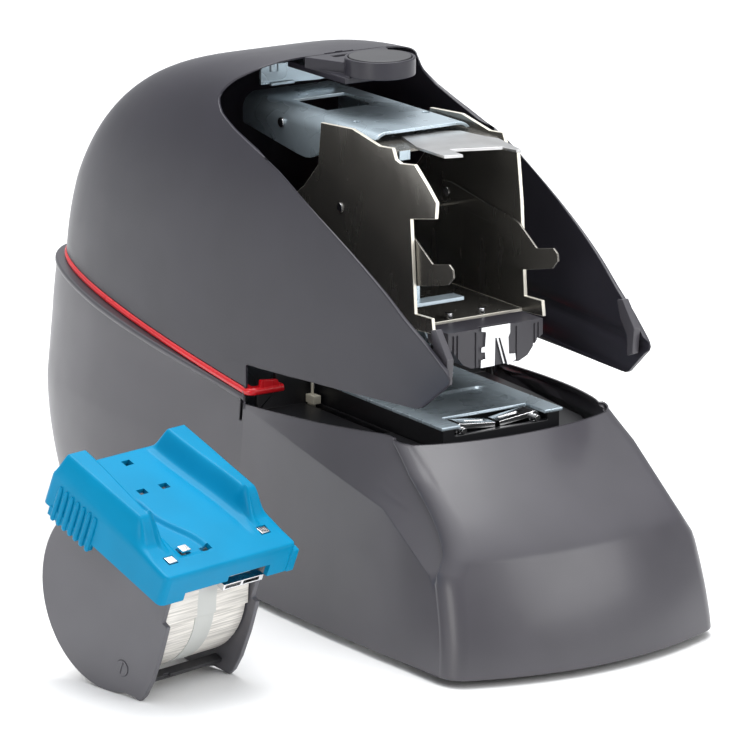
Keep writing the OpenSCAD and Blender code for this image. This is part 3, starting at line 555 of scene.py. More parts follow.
def hood_levels():
    """Heights of the hood's rows, closer together where its edge or its crown bends."""
    levels = [83, 83.5, 84.5, 86, 88, 90, 91.4, 92.1, 92.4, 92.8, 93.4, 94.2, 95, 95.8, 96.4, 96.9,
              97.4, 98.6, 100, 102, 104, 106, 108, 109.2, 110, 110.8, 111.6, 112.4, 114]
    levels += [116.5 + 2.5 * i for i in range(28)]
    levels += [186, 187.5, 189, 191, 193, 195, 196.6, 198, 199.3, 200.4, 201.4, 202.2, 202.9,
               203.5, 204, 204.4, 204.7, 204.95, 205.15, 205.3]
    return levels


def make_hood():
    """Skin through the levels, closed by a strip of faces at the crown."""
    verts = []
    for level in hood_levels():
        half = hood_half(level)
        verts += half + [Vector((-p.x, p.y, p.z)) for p in reversed(half[:-1])]
    count = 2 * HOOD_COLUMNS + 1
    faces = grid_faces(len(verts) // count, count, closed=False)
    last = len(verts) - count
    faces += [(last + i, last + i + 1, last + count - 2 - i, last + count - 1 - i)
              for i in range(HOOD_COLUMNS - 1)]
    faces.append((last + HOOD_COLUMNS - 1, last + HOOD_COLUMNS, last + HOOD_COLUMNS + 1))
    hood = mesh_object("hood_shell", verts, faces)
    weld(hood, 0.03)
    wall(hood)
    finish(hood, 0.45, 3, 50, 42)
    # Slot 1, the inner faces, gets the much darker inside material: painted shade.
    dress(hood, ["hood"], "hood_plastic", "painted_shade_inside")


# ---- lower housing ----

FOOT_Z, FOOT_HALF_W = 3.0, 66.5
# The crease on the flank falls slowly from the throat to its knee, then faster to the corner
KNEE_Y, KNEE_Z = -91.0, 57.4
CREASE_SLOPE, CREASE_DROP = 0.19, 0.59
# The front's middle: at the foot, then back by LOWER_LEAN up to the waist, and by UPPER_LEAN
FRONT_Y, WAIST_Z = -154.5, 45.0
LOWER_LEAN, UPPER_LEAN = 11.8, 43.7
# The front bows back by BOW at BOW_HALF_W from the middle
BOW, BOW_HALF_W = 14, 61
CORNER_R = 11.0
# The rear swells out from SWELL_Z down to TUCK_Z, and its foot is tucked in by TUCK below that
SWELL_Z, TUCK_Z, TUCK = 112, 54, 22
# Half width where the corner meets the flank is taken this far behind the front face
CORNER_REACH = 23


def swell(y, z):
    """How far the housing stands out at the rear at height z, and how far at y."""
    level = REAR_STEP + (REAR_SWELL - REAR_STEP) * clamp((SWELL_Z - z) / (SWELL_Z - TUCK_Z), 0, 1)
    return level, level * smoothstep(THROAT_Y, THROAT_Y + 115, y)


def flank_w(y, z):
    """Half width of the flank, straight from the foot to BASE_Z."""
    top = CASE_HALF_W * taper(max(y, THROAT_Y)) - 3.2 * (max(0, THROAT_Y - y) / 100) ** 2
    foot = FOOT_HALF_W - 4.6 * (max(0, MID_Y - y) / 110) ** 2
    return foot + (top - foot) * min(1, (z - FOOT_Z) / (BASE_Z - FOOT_Z)) + swell(y, z)[1]


def crease_at(y):
    """Height of the crease at y."""
    return KNEE_Z + (CREASE_SLOPE if y > KNEE_Y else CREASE_DROP) * (y - KNEE_Y)


def crease_y_at(z):
    """Where the crease is at height z."""
    if z > KNEE_Z:
        return min(THROAT_Y - 0.5, (z - KNEE_Z) / CREASE_SLOPE + KNEE_Y)
    return KNEE_Y - (KNEE_Z - z) / CREASE_DROP


def housing_w(y, z):
    """Half width of the housing, which leans inwards above the crease."""
    crease, level = crease_at(y), min(z, 84)
    if y < THROAT_Y and level > crease:
        lean = 0.0064 * (THROAT_Y - y) + 0.1 * smoothstep(-60, THROAT_Y, y)
        return flank_w(y, crease) - lean * (level - crease)
    return flank_w(y, z)


def front_at(z):
    """The front face in the middle: nearly upright to the waist, then leaning back."""
    if z < WAIST_Z:
        return FRONT_Y + LOWER_LEAN * (max(0, z - FOOT_Z) / (WAIST_Z - FOOT_Z)) ** 1.6
    lean = min(1, (z - WAIST_Z) / (BASE_Z - WAIST_Z)) ** 1.25
    return FRONT_Y + LOWER_LEAN + UPPER_LEAN * lean


def bow(x):
    return BOW * (x / BOW_HALF_W) ** 2


# Columns of the housing's right half: the front face, its round corner, the flank up to the
# crease, the step at the throat, the flank behind it and the rear
COLUMNS = {"front": 24, "corner": 14, "crease": 26, "step": 4, "flank": 30, "rear": 56}
# The flank's columns end and the rear's begin here
REAR_START_Y = 70.0


def housing_point(part, i, z):
    """(x, y) of one column of the housing's right half, at height z."""
    front = front_at(z)
    width = housing_w(front + CORNER_REACH, z)
    inner = width - CORNER_R
    for _ in range(4):
        lean = math.atan(2 * BOW * inner / BOW_HALF_W ** 2)
        inner = width - CORNER_R * (1 - math.sin(lean))
    if part == "front":
        x = inner * i / COLUMNS[part]
        return x, front + bow(x)
    if part == "corner":
        a = lean + (math.pi / 2 - lean) * i / COLUMNS[part]
        return (inner + CORNER_R * (math.sin(a) - math.sin(lean)),
                front + bow(inner) + CORNER_R * (math.cos(lean) - math.cos(a)))
    corner_y = front + bow(inner) + CORNER_R * math.cos(lean)
    crease_y = max(corner_y + 3, min(crease_y_at(z), THROAT_Y - 0.5))
    reach = REACH_Y - TUCK * (max(0, TUCK_Z - z) / TUCK_Z) ** 2 + swell(0, z)[0]
    k = top_k(z)
    if part == "crease":
        y = corner_y + (crease_y - corner_y) * i / COLUMNS[part]
        return housing_w(y, z), y
    if part == "step":
        y = crease_y + (THROAT_Y - 0.02 - crease_y) * i / COLUMNS[part]
        return housing_w(y, z) * k ** (1 / PLAN_POWER), y
    if part == "flank":
        y = THROAT_Y + 0.02 + (REAR_START_Y - THROAT_Y) * i / COLUMNS[part]
        rear = ((y - MID_Y) / reach) ** REAR_POWER
        return housing_w(y, z) * (k - rear) ** (1 / PLAN_POWER), y
    start = math.asin(math.sqrt(((REAR_START_Y + 0.02 - MID_Y) / reach) ** REAR_POWER / k))
    angle = start + (math.pi / 2 - start) * i / COLUMNS[part]
    y = MID_Y + reach * (k * math.sin(angle) ** 2) ** (1 / REAR_POWER)
    across = math.cos(angle) ** (2 / PLAN_POWER) if i < COLUMNS[part] else 0.0
    return across * k ** (1 / PLAN_POWER) * housing_w(y, z), y


def housing_edge(y):
    """Height of the rim: under the trim strip, along the throat, and over the front."""
    if y >= THROAT_Y:
        return joint_z(y) - TRIM_T
    if y > -76:
        return 76.5 + 0.0626 * (THROAT_Y - y)
    return 79.8 + 1.77 * smoothstep(-97, -76, y)


def housing_columns():
    """Each column of the right half, with the height of its rim."""
    columns = []
    for part, i in [(part, i) for part, count in COLUMNS.items()
                    for i in range(count + (part in ("step", "rear")))]:
        top = BASE_Z
        for _ in range(6):
            top = housing_edge(housing_point(part, i, top)[1])
        columns.append((part, i, top))
    return columns


# Radius of the round bead under the rim, how far it stands out, and its lower end
BEAD, BEAD_OUT, BEAD_END = 1.3, 0.8, 3.2


def make_lower_housing():
    """Skin through bands up each column, then the bead, with a small inward flange behind it."""
    columns = housing_columns()
    # Shares of the wall's height, then depths below the rim, the last one for the flange
    bands = [0.0, 0.01, 0.03, 0.06] + [0.1 + 0.04 * i for i in range(10)]
    bands += [0.48, 0.5, 0.52, 0.535, 0.55, 0.565, 0.58] + [0.6 + 0.03 * i for i in range(12)]
    drops = [2.9, 2.6, 2.45, 2.1, 1.7, 1.3, 0.9, 0.5, 0.15, 0.0, 0.02]
    verts = []
    for n in range(len(bands) + len(drops)):
        half = []
        lip = n == len(bands) + len(drops) - 1
        for part, i, top in columns:
            beaded = part in ("flank", "rear")
            if n < len(bands):
                z = FOOT_Z + (top - BEAD_END - FOOT_Z) * bands[n] / bands[-1]
            elif lip and not beaded:
                z = top
            else:
                z = top - drops[n - len(bands)]
            x, y = housing_point(part, i, z)
            out = 0.0
            if lip and beaded:
                out = -BEAD_OUT - swell(y, top)[1]
            elif n >= len(bands) and beaded:
                off = (drops[n - len(bands)] - BEAD) / BEAD
                out = BEAD_OUT * math.sqrt(max(0.0, 1 - off ** 2))
            if out != 0:
                grow = Vector((x, 0.9 * max(0.0, y - 95)))
                grow.normalize()
                x, y = x + out * grow[0], y + out * grow[1]
            half.append(Vector((x, y, z)))
        row = half + [Vector((-p.x, p.y, p.z)) for p in reversed(half[1:-1])]
        verts += row
    faces = grid_faces(len(verts) // len(row), len(row))
    housing = mesh_object("lower_housing_shell", verts, faces)
    weld(housing, 0.015)
    wall(housing)
    fit_low, fit_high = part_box("power_inlet")
    rocker_low, rocker_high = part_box("switch_bezel")
    cutters = [
        block("inlet_hole", (fit_low[0] / MM + 2.3, 140, 29.8),
              (fit_high[0] / MM - 2.3, 200, 50.2)),
        block("switch_hole", (rocker_low[0] / MM - 0.2, 140, 32.8),
              (rocker_high[0] / MM + 0.2, 200, 47.2))]
    for side in (-60, 60):
        cutters.append(block("end_slot", (side - 8, THROAT_Y + 1.2, 69.6),
                             (side + 8, THROAT_Y + 2.8, 77.4)))
    cut(housing, cutters)
    finish(housing, 0.4, 2, 50, 42)
    # Slot 1, the inner faces and the walls of the cut holes, gets the much darker inside material:
    # painted shade.
    dress(housing, ["lower_housing"], "housing_plastic", "painted_shade_inside")


# ---- red trim strip ----

def trim_path():
    """Right half of the strip's outer face at its own height, from its end round to the rear."""
    half = []
    for i in range(19):
        y = THROAT_Y + 1.5 + (60 - THROAT_Y) * i / 18
        z = joint_z(y)
        rear = max(0, (y - MID_Y) / REACH_Y) ** REAR_POWER
        half.append((CASE_HALF_W * taper(y) * (top_k(z) - rear) ** (1 / PLAN_POWER), y))
    start = half[-1][0] / CASE_HALF_W
    for i in range(1, 49):
        share = start * math.cos(math.pi / 2 * i / 48) ** 0.45 if i < 48 else 0.0
        y = REAR_Y
        for _ in range(6):
            k = top_k(joint_z(y))
            side = min(k, (share / taper(y)) ** PLAN_POWER)
            y = MID_Y + REACH_Y * (k - side) ** (1 / REAR_POWER)
        half.append((share * CASE_HALF_W, y))
    return half


def make_trim():
    half = trim_path()
    turn_x, turn_y = half[0][0], THROAT_Y + 1.5
    inner = [(44 + (turn_x - 3.5 - 44) * i / 8, THROAT_Y - 3.1) for i in range(8)]
    arc = [(turn_x - 3.5 + 3.5 * math.sin(a), turn_y - 1.0 - 3.6 * math.cos(a))
           for a in [math.radians(11.25 * i) for i in range(8)]]
    half = inner + arc + half
    path = [(x, y) for x, y in half] + [(-x, y) for x, y in reversed(half[:-1])]
    # cross-section: distance inwards and height below the joint line, with soft outer edges
    section = [(3.2, 0), (0.5, 0), (0.0, -0.1), (-0.45, -0.4), (-0.7, -0.9), (-0.78, -1.5),
               (-0.7, -2.1), (-0.45, -2.6), (0.0, -2.9), (0.5, -TRIM_T), (3.2, -TRIM_T)]
    verts = []
    for i, (x, y) in enumerate(path):
        ahead, behind = path[min(i + 1, len(path) - 1)], path[max(i - 1, 0)]
        along = Vector((ahead[0] - behind[0], ahead[1] - behind[1])).normalized()
        inward = Vector((-along[1], along[0]))
        z = joint_z(max(y, THROAT_Y))
        verts += [(x + inward[0] * d, y + inward[1] * d, z + h) for d, h in section]
    count = len(section)
    faces = grid_faces(len(path), count)
    faces.append(tuple(range(count)))
    faces.append(tuple((len(path) - 1) * count + i for i in reversed(range(count))))
    pieces = [mesh_object("trim_sweep", verts, faces)]
    low = SEAM_Z - TRIM_T
    tab = [(45, low + 0.2), (56.5, low + 0.2), (56.5, low + 2.4), (54.6, low + 2.9),
           (54.0, low + 5.8), (46.4, low + 5.0), (45.4, low + 2.2)]
    for side in (-1, 1):
        rings = [[(side * x, y, z) for x, z in tab] for y in (THROAT_Y - 3.2, THROAT_Y - 1.2)]
        piece = loft("trim_tab", rings)
        round_edges(piece, 0.3, 2)
        settle(piece)
        pieces.append(piece)
    strip = join("trim_strip", pieces)
    weld(strip, 0.01)
    smooth(strip, 35)
    dress(strip, ["red_trim_strip"], "red_plastic")


# ---- platform ----

# Thickness of the zinc-plated sheet
SHEET_T = 1.3


def make_platform():
    """Plate with a pressed recess whose walls slope, and a slot for the clinchers."""
    low, high = (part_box("platform_plate")[i] / MM for i in (0, 1))
    columns, rows = 112, 180

    middle_y, half_x, half_y, corner, depth = -54, 19.5, 12.5, 3, 1.0

    def height(x, y):
        out_x, out_y = abs(x) - half_x, abs(y - middle_y) - half_y
        side = math.hypot(max(out_x + corner, 0), max(out_y + corner, 0)) - corner
        reach = max(out_x, out_y)
        edge = max(side, reach) if reach < 0 else side
        return high[2] - depth * (1 - smoothstep(-1.2, 1.0, edge))

    def open_at(x, y):
        """The clinchers' slot at the front edge, and the window for the paper sensor."""
        return (abs(x + 0.25) < 19.6 and y < low[1] + 12.3) or (11.7 < x < 18.1 and -12.3 < y < 4)

    verts = [(low[0] + (high[0] - low[0]) * i / columns, low[1] + (high[1] - low[1]) * j / rows)
             for j in range(rows + 1) for i in range(columns + 1)]
    verts = [(x, y, height(x, y)) for x, y in verts]
    faces = [face for face in grid_faces(rows + 1, columns + 1, closed=False)
             if not open_at(*verts[face[0]][:2])]
    plate = mesh_object("platform", verts, faces)
    bm = bmesh.new()
    bm.from_mesh(plate.data)
    bmesh.ops.delete(bm, geom=[v for v in bm.verts if not v.link_faces], context="VERTS")
    bm.to_mesh(plate.data)
    bm.free()
    modify(plate, "SOLIDIFY", thickness=SHEET_T * MM, offset=-1.0)
    settle(plate)
    finish(plate, 0.25, 2, 60, 42)
    dress(plate, ["platform_plate"], "zinc")


# ---- cassette ----

COVER_W, COVER_L, COVER_H, COVER_T = 66.0, 70.0, 13.5, 2.0
# Radius of the cover's corners in plan, and of its upper edge
COVER_CORNER, COVER_EDGE = 2.5, 1.3
RIDGE_H, BUTTRESS_H, GUTTER_DEPTH = 8.2, 2.0, 1.5


def cover_height(x, y):
    """Top of the cover: a ridge along each side, and a middle panel beside a gutter."""
    z = COVER_H - 1.2 * smoothstep(20, 0, y)
    rear = 1 - smoothstep(66.0, 69.6, y)
    front = smoothstep(15.5, 25.5, y)
    back = smoothstep(22, 66, y)
    for across in (x, COVER_W - x):
        crest = 6.6 + 1.6 * back
        half = 2.0 + 1.8 * back
        if across > crest:
            ridge = 1 - smoothstep(half, half + 4.6, across - crest)
        else:
            ridge = smoothstep(0.2, 1.0, across / max(crest - half, 0.1)) ** 0.8
        z += RIDGE_H * ridge * front * rear
        foot = 1 - smoothstep(half + 4.0, half + 7.0, across - crest)
        z += 1.0 * foot * smoothstep(8, 19, y) * rear * clamp(across / 3, 0, 1)
        buttress = 1 - smoothstep(0.6, 1.6, abs(across - crest - 3.4))
        z += BUTTRESS_H * buttress * smoothstep(11, 20, y) * (1 - smoothstep(24, 28, y))
    bank = 23.5 + 7.5 * smoothstep(34, 12, y)
    gutter = smoothstep(bank - 1.5, bank - 3.4, x) * smoothstep(13.5, 15.5, x)
    z -= GUTTER_DEPTH * gutter * smoothstep(8, 11, y) * smoothstep(44, 41, y)
    return z


def cover_side(y):
    """How far the cover's side is inside its full width at y."""
    inset = 0.5 + (y - COVER_CORNER) / (COVER_L - 7.5)
    near = min(y, COVER_L - y)
    if near < COVER_CORNER:
        off = COVER_CORNER - near
        inset += COVER_CORNER - math.sqrt(max(0, COVER_CORNER ** 2 - off ** 2))
    return inset


def eased(share):
    """A share from 0 to 1 with slightly smaller steps at both ends."""
    return 0.15 * (0.5 - 0.5 * math.cos(math.pi * share)) + 0.85 * share


def cover_sheet(verts, inset):
    """Adds the cover's top and skirt, moved in by inset; returns its faces and lowest ring."""
    columns, rows, skirt = 132, 140, 8
    index = {}
    for j in range(rows + 1):
        y = inset + (COVER_L - 2 * inset) * eased(j / rows)
        left = cover_side(y) + inset
        for i in range(columns + 1):
            x = left + (COVER_W - 2 * left) * eased(i / columns)
            edge = min(x - left, COVER_W - left - x, y - inset, COVER_L - inset - y)
            off = COVER_EDGE - min(edge, COVER_EDGE)
            drop = COVER_EDGE - math.sqrt(max(0, COVER_EDGE ** 2 - off ** 2))
            index[i, j] = len(verts)
            verts.append((x, y, cover_height(x, y) - drop - inset))
    faces = [(index[i, j], index[i + 1, j], index[i + 1, j + 1], index[i, j + 1])
             for j in range(rows) for i in range(columns)]
    rim = [(i, 0) for i in range(columns)] + [(columns, j) for j in range(rows)]
    rim += [(i, rows) for i in range(columns, 0, -1)] + [(0, j) for j in range(rows, 0, -1)]
    ring = [index[p] for p in rim]
    for k in range(1, skirt + 1):
        lower = []
        for p in rim:
            x, y, z = verts[index[p]]
            lower.append(len(verts))
            verts.append((x, y, z * (1 - k / skirt)))
        faces += [(ring[i], lower[i], lower[(i + 1) % len(rim)], ring[(i + 1) % len(rim)])
                  for i in range(len(rim))]
        ring = lower
    return [f[::-1] for f in faces] if inset else faces, ring


def make_cover():
    """Hollow cover with its holes and gaps, grip ribs, side tabs and the ear at the right."""
    verts = []
    faces, outer = cover_sheet(verts, 0.0)
    inner_faces, inner = cover_sheet(verts, COVER_T)
    faces += inner_faces
    faces += [(outer[i], inner[i], inner[(i + 1) % len(inner)], outer[(i + 1) % len(inner)])
              for i in range(len(inner))]
    cover = mesh_object("cover_skin", verts, faces)
    two_slots(cover)
    cutters = [block("hole", (x - 2.0, y, 8), (x + 2.0, y + 3.0, 24))
               for x, y in ((27, 45), (38, 45), (34, 62), (28, 9))]
    cutters += [block("tab_hole", (x - 2.4, y - 0.3, 8), (x + 2.4, y + 3.7, 24))
                for x, y in ((9, 7), (19, 11), (57, 9))]
    cutters += [block("staple_gap", (12.1, -1, -1), (34, 4.4, 3.2)),
                block("clip_gap", (33, -1, -1), (53.9, 4.4, 5.4))]
    cut(cover, cutters)
    weld(cover, 0.02)
    smooth(cover, 40)
    grips = [cover]
    for side in (0, 1):
        for i in range(7):
            y = 42 + i * 3.4
            x = side * COVER_W + (1 - 2 * side) * cover_side(y)
            rings = [[(x + r * math.cos(a), y + r * math.sin(a), z)
                      for a in [math.radians(30 * n) for n in range(12)]]
                     for r, z in ((0.5, -3.9), (1.05, -3.3), (1.2, -2.4), (1.2, 4), (1.1, 9.4),
                                  (0.6, 11.0))]
            grips.append(loft("grip", rings))
    for side in (-1, 1):
        middle = COVER_W / 2 + side * (COVER_W / 2 - 1.9)
        tab = block("side_tab", (middle - 0.8, 40.5, -3.0), (middle + 0.8, 65.5, 1.0))
        round_edges(tab, 0.3, 2)
        settle(tab)
        grips.append(tab)
    ear = prism("ear", [(0.2, -1), (4.4, -0.6), (4.8, 6), (3.0, 9.0), (0.2, 8.6)], 1.9, at=66.1)
    round_edges(ear, 0.5, 3)
    settle(ear)
    grips.append(ear)
    cover = join("cassette_cover_shell", grips)
    for polygon in cover.data.polygons:
        polygon.material_index = 0
    cover.data.transform(cassette_place())
    smooth(cover, 40)
    dress(cover, ["cassette_cover"], "blue_plastic")


ROLL_R, ROLL_HALF_W, TAPE_T = 28.8, 20.6, 0.2
ROLL_CENTRE = (33.5, -22.0)


def roll_ring(x, radius, count):
    return [(x, ROLL_CENTRE[0] + radius * math.cos(a), ROLL_CENTRE[1] + radius * math.sin(a))
            for a in [2 * math.pi * n / count for n in range(count)]]


def make_roll():
    """Coil of glued wires: each wire a shallow rib across the roll, slightly out of line."""
    rng = random.Random(11)
    wires, points = 226, 5
    low, high = COVER_W / 2 - ROLL_HALF_W, COVER_W / 2 + ROLL_HALF_W
    outline = []
    for n in range(wires):
        lift = rng.uniform(-0.05, 0.02) - (0.09 if rng.random() < 0.07 else 0)
        for p in range(points):
            angle = 2 * math.pi * (n + p / points) / wires
            rib = 0.07 * math.sin(math.pi * p / points) - 0.07
            outline.append((angle, ROLL_R + rib + lift))
    rings = []
    for x, inset in ((low, 0.25), (low + 0.25, 0.0), (high - 0.25, 0.0), (high, 0.25)):
        rings.append([(x, ROLL_CENTRE[0] + (r - inset) * math.cos(a),
                       ROLL_CENTRE[1] + (r - inset) * math.sin(a)) for a, r in outline])
    roll = loft("wire_coil", rings)
    hub = [roll_ring(x, r, 64)
           for x, r in ((low - 0.15, 8.2), (low - 0.2, 8.6), (low - 0.2, 9.2), (low + 1, 9.4))]
    hubs = [loft("hub", hub)]
    hubs.append(loft("hub", [[(COVER_W - x, y, z) for x, y, z in ring] for ring in hub]))
    roll = join("staple_coil", [roll] + hubs)
    weld(roll, 0.005)
    roll.data.transform(cassette_place())
    smooth(roll, 30)
    dress(roll, ["staple_roll"], "staple_wire")
    tape = loft("tape_band", [
        roll_ring(x, ROLL_R + out, 256)
        for x, out in ((28, -0.05), (28.05, 0.16), (28.3, TAPE_T), (37.1, TAPE_T),
                       (37.35, 0.16), (37.4, -0.05))])
    weld(tape, 0.005)
    tape.data.transform(cassette_place())
    smooth(tape, 30)
    dress(tape, ["roll_tape"], "tape")


def make_lead():
    """Straight run of wires from the roll to the cassette's mouth, with the tape on it."""
    outline = [(5.1, -15), (7, -9.9), (9.5, -0.4), (8.5, -0.4), (6.2, -9.9), (4.4, -15)]
    pieces = []
    for low, high, look in ((12.4, 28.0, 0), (28.0, 37.4, 1), (37.4, 53.6, 0)):
        piece = prism("wire_run", outline, (high - low) / 2, at=(low + high) / 2)
        for polygon in piece.data.polygons:
            polygon.material_index = look
        pieces.append(piece)
    lead = join("wire_lead", pieces)
    lead.data.transform(cassette_place())
    smooth(lead, 30)
    dress(lead, ["staple_lead"], "staple_wire", "tape")


# ---- parts of the head whose sheet metal is bent or has several finishes ----

def disc(name, centre, radius, low, high):
    """Upright round cutter."""
    ring = [(centre[0] + radius * math.cos(a), centre[1] + radius * math.sin(a))
            for a in [math.pi * n / 12 for n in range(24)]]
    made = loft(name, [[(x, y, z) for x, y in ring] for z in (low, high)])
    made.data.polygons.foreach_set("material_index", [1] * len(made.data.polygons))
    return made


def make_zinc_arm():
    """Sheet bent down at both sides with a wide radius, with a rounded ear at the front."""
    half_w, top, bend, low = 23.2, 186.0, 6.5, 166.5
    section = [(half_w, low + (top - bend - low) * i / 6) for i in range(6)]
    section += [(half_w - bend + bend * math.cos(a), top - bend + bend * math.sin(a))
                for a in [math.radians(9 * i) for i in range(11)]]
    section += [((half_w - bend) * (1 - i / 6), top) for i in range(1, 6)]
    section = section + [(-x, z) for x, z in reversed(section)]
    steps = 47
    verts = [(x, -30 + 94 * j / steps, z) for j in range(steps + 1) for x, z in section]
    arm = mesh_object("zinc_arm_sheet", verts, grid_faces(steps + 1, len(section), closed=False))
    weld(arm, 0.01)
    modify(arm, "SOLIDIFY", thickness=SHEET_T * MM, offset=-1.0)
    settle(arm)
    ear = [(-60, 150), (-60, 183.2), (4.6, 183.2), (4.4, 178), (6, 173.6), (10, 170), (14, 168.4),
           (18, 167.8), (24, 168.2), (80, 176), (80, 150)]
    cut(arm, [prism("outside_ear", ear, 60), block("window", (-14, 16, 180), (10, 41, 192)),
              disc("hole", (-16, -8), 1.6, 180, 192), disc("hole", (16, -8), 1.6, 180, 192)])
    finish(arm, 0.25, 2, 40, 38)
    dress(arm, ["zinc_arm"], "zinc")


def make_bridge_plate():
    """Dark step plate, bright spring tongue on it and a zinc-plated tab at the left."""
    plate = softened("bridge_plate", 0.18, dressed=False)
    for polygon in plate.data.polygons:
        x, _, z = polygon.center / MM
        polygon.material_index = 1 if z > 182.25 else 2 if x < -16.8 and z < 180.95 else 0
    dress(plate, ["bridge_plate"], "nickel_plate", "former_metal", "zinc")


# Faces of the bay frame narrower than this, in millimetres, are its plates' cut edges
NARROW_FACE = 1.7


def make_bay_frame():
    """Polished plates with pale cut edges."""
    bay = softened("bay_frame", 0.2, dressed=False)
    mesh = bay.data
    for polygon in mesh.polygons:
        outline = sum((mesh.vertices[a].co - mesh.vertices[b].co).length
                      for a, b in polygon.edge_keys)
        if polygon.area / outline * 2 < NARROW_FACE * MM:
            polygon.material_index = 1
    dress(bay, ["bay_frame"], "nickel_plate", "cut_edge")


def make_nose():
    """Nose block with upright grooves in its front."""
    nose = softened("nose_block", 0.0, dressed=False)
    grooves = [block("groove", (x - 0.35, -80.6, 95), (x + 0.35, -79.3, 116.2))
               for x in (-19.6, -17.8, -9.4, 9.4, 17.8, 19.6)]
    cut(nose, grooves)
    weld(nose, 0.01)
    finish(nose, 0.25, 2, 40, 38)
    dress(nose, ["nose_block"], "nose_plastic")


# ---- return spring ----

def make_spring():
    """Coil between the chassis and the head's cross bar."""
    low, high = (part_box("return_spring")[i] / MM for i in (0, 1))
    wire, turns, steps = 0.8, 6, 240
    radius = (high[0] - low[0]) / 2 - wire
    centre_y = (low[1] + high[1]) / 2
    rings = []
    for j in range(steps + 1):
        t = j / steps
        a = 2 * math.pi * turns * t
        z = low[2] + wire + (high[2] - low[2] - 2 * wire) * t
        rings.append([((radius + wire * math.cos(b)) * math.cos(a),
                       centre_y + (radius + wire * math.cos(b)) * math.sin(a),
                       z + wire * math.sin(b))
                      for b in [math.pi * n / 5 for n in range(10)]])
    spring = loft("spring_coil", rings)
    weld(spring, 0.005)
    smooth(spring, 60)
    dress(spring, ["return_spring"], "bright_steel")
    # The head's cross bar comes 3 mm down on the spring, which stands on the chassis
    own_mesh(spring)


make_hood()
make_lower_housing()
make_trim()
make_platform()
make_cover()
make_roll()
make_lead()
make_spring()
make_zinc_arm()
make_bridge_plate()
make_bay_frame()
make_nose()

# Rounded edges, in millimetres, of the pieces whose shape the CAD model already has
EDGES = {
    "throat_tray": 0.3, "anvil_tower": 0.3, "clincher_left": 0.25, "clincher_right": 0.25,
    "clincher_pins": 0.2, "sensor_pin": 0.2, "hood_tongue": 0.4, "door_arms": 0.4,
    "upper_bracket": 0.2, "arm_pin": 0.3, "feed_guide": 0.15, "former_clip": 0.15,
    "bay_studs": 0.3, "head_crossbar": 0.4, "follower_rollers": 0.3, "yoke": 0.2, "yoke_pin": 0.2,
    "driver_blade": 0.15, "paper_stop": 0.2, "release_button": 0.4, "rocker_switch": 0.4,
    "power_inlet": 0.3, "switch_bezel": 0.4, "paper_sensor_lever": 0.25,
    "cassette_plate_left": 0.4, "cassette_plate_right": 0.4, "cassette_spindle": 0.3,
    "cassette_crossbar": 0.3, "cassette_guide_clips": 0.15, "cassette_pivot_screws": 0.15,
    "rubber_feet": 0.6, "housing_screws": 0.2, "bottom_plate": 0.4, "chassis_plate_left": 0.3,
    "chassis_plate_right": 0.3, "chassis_cross_plate": 0.2, "motor": 0.5, "middle_axle": 0.3,
    "head_shaft": 0.4, "circuit_board": 0.2, "cam_shaft": 0.4, "cams": 0.3, "cam_gear": 0.1,
    "middle_gear": 0.1, "motor_pinion": 0.08,
}
for name, edge in EDGES.items():
    softened(name, edge)


# ---- floor, light and camera ----

FLOOR_HALF = 9000


def floor():
    made = bpy.data.materials.new("studio_floor")
    made.use_nodes = True
    shader = made.node_tree.nodes["Principled BSDF"]
    shader.inputs["Base Color"].default_value = (0.86, 0.86, 0.86, 1)
    shader.inputs["Roughness"].default_value = 0.7
    corners = ((-1, -1), (1, -1), (1, 1), (-1, 1))
    obj = mesh_object("studio_floor", [(x * FLOOR_HALF, y * FLOOR_HALF, 0) for x, y in corners],
                      [(0, 1, 2, 3)])
    obj.data.materials.append(made)


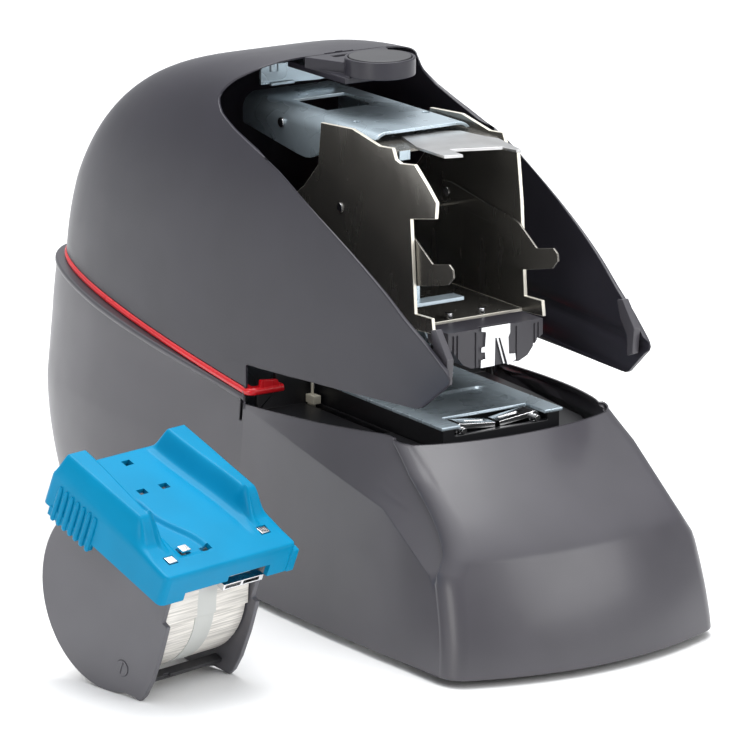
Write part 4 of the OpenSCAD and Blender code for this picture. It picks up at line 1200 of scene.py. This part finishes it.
def softbox(name, at, aim, size, power, colour=(1, 1, 1)):
    light = bpy.data.lights.new(name, "AREA")
    light.shape = "RECTANGLE"
    light.size, light.size_y = size
    light.energy = power
    light.color = colour
    obj = bpy.data.objects.new(name, light)
    obj.location = at
    obj.rotation_euler = (Vector(aim) - Vector(at)).to_track_quat("-Z", "Y").to_euler()
    bpy.context.scene.collection.objects.link(obj)


def camera():
    """The photograph's view, fitted to the casing's edges."""
    azimuth, rise, distance = math.radians(-33.4), math.radians(14.4), 2.021
    back = Vector((math.sin(azimuth) * math.cos(rise), -math.cos(azimuth) * math.cos(rise),
                   math.sin(rise)))
    made = bpy.data.cameras.new("photo_view")
    made.lens = 246.5
    made.shift_x = -0.0067
    made.shift_y = -0.064
    made.clip_end = 100
    obj = bpy.data.objects.new("photo_view", made)
    obj.location = Vector((0, 0, 0.1)) + back * distance
    obj.rotation_euler = (-back).to_track_quat("-Z", "Y").to_euler()
    bpy.context.scene.collection.objects.link(obj)
    bpy.context.scene.camera = obj


# Strength of the sky where nothing is added to it
SKY = 0.32


def world():
    """Pale studio: bright overhead and behind the object, dim at the sides and in front."""
    made = bpy.data.worlds.new("studio")
    made.use_nodes = True
    tree = made.node_tree
    split = node(tree, "SeparateXYZ",
                 Vector=tree.nodes.new("ShaderNodeTexCoord").outputs["Generated"])
    total = None
    for axis, start, end, power in (("Z", 0.35, 0.9, 1.3), ("Y", 0.3, 0.95, 0.3)):
        glow = between(tree, split.outputs[axis], 0.0, power, start, end, "SMOOTHSTEP")
        added = node(tree, "Math", Value=glow)
        added.operation = "ADD"
        if total is None:
            added.inputs[1].default_value = SKY
        else:
            tree.links.new(total, added.inputs[1])
        total = added.outputs[0]
    tree.links.new(total, tree.nodes["Background"].inputs["Strength"])
    tree.nodes["Background"].inputs["Color"].default_value = (0.965, 0.98, 1.0, 1)
    bpy.context.scene.world = made


floor()
world()
softbox("key", (-1.3, -0.5, 0.25), (0, 0, 0.08), (0.5, 0.4), 3.1, (1.0, 0.98, 0.95))
softbox("top", (0.1, 0.2, 1.6), (0, 0, 0.1), (1.2, 1.2), 25)
softbox("fill", (0.75, -1.6, 0.72), (0, -0.05, 0.1), (1.3, 0.8), 13)
camera()
bpy.context.scene.view_settings.view_transform = "Standard"
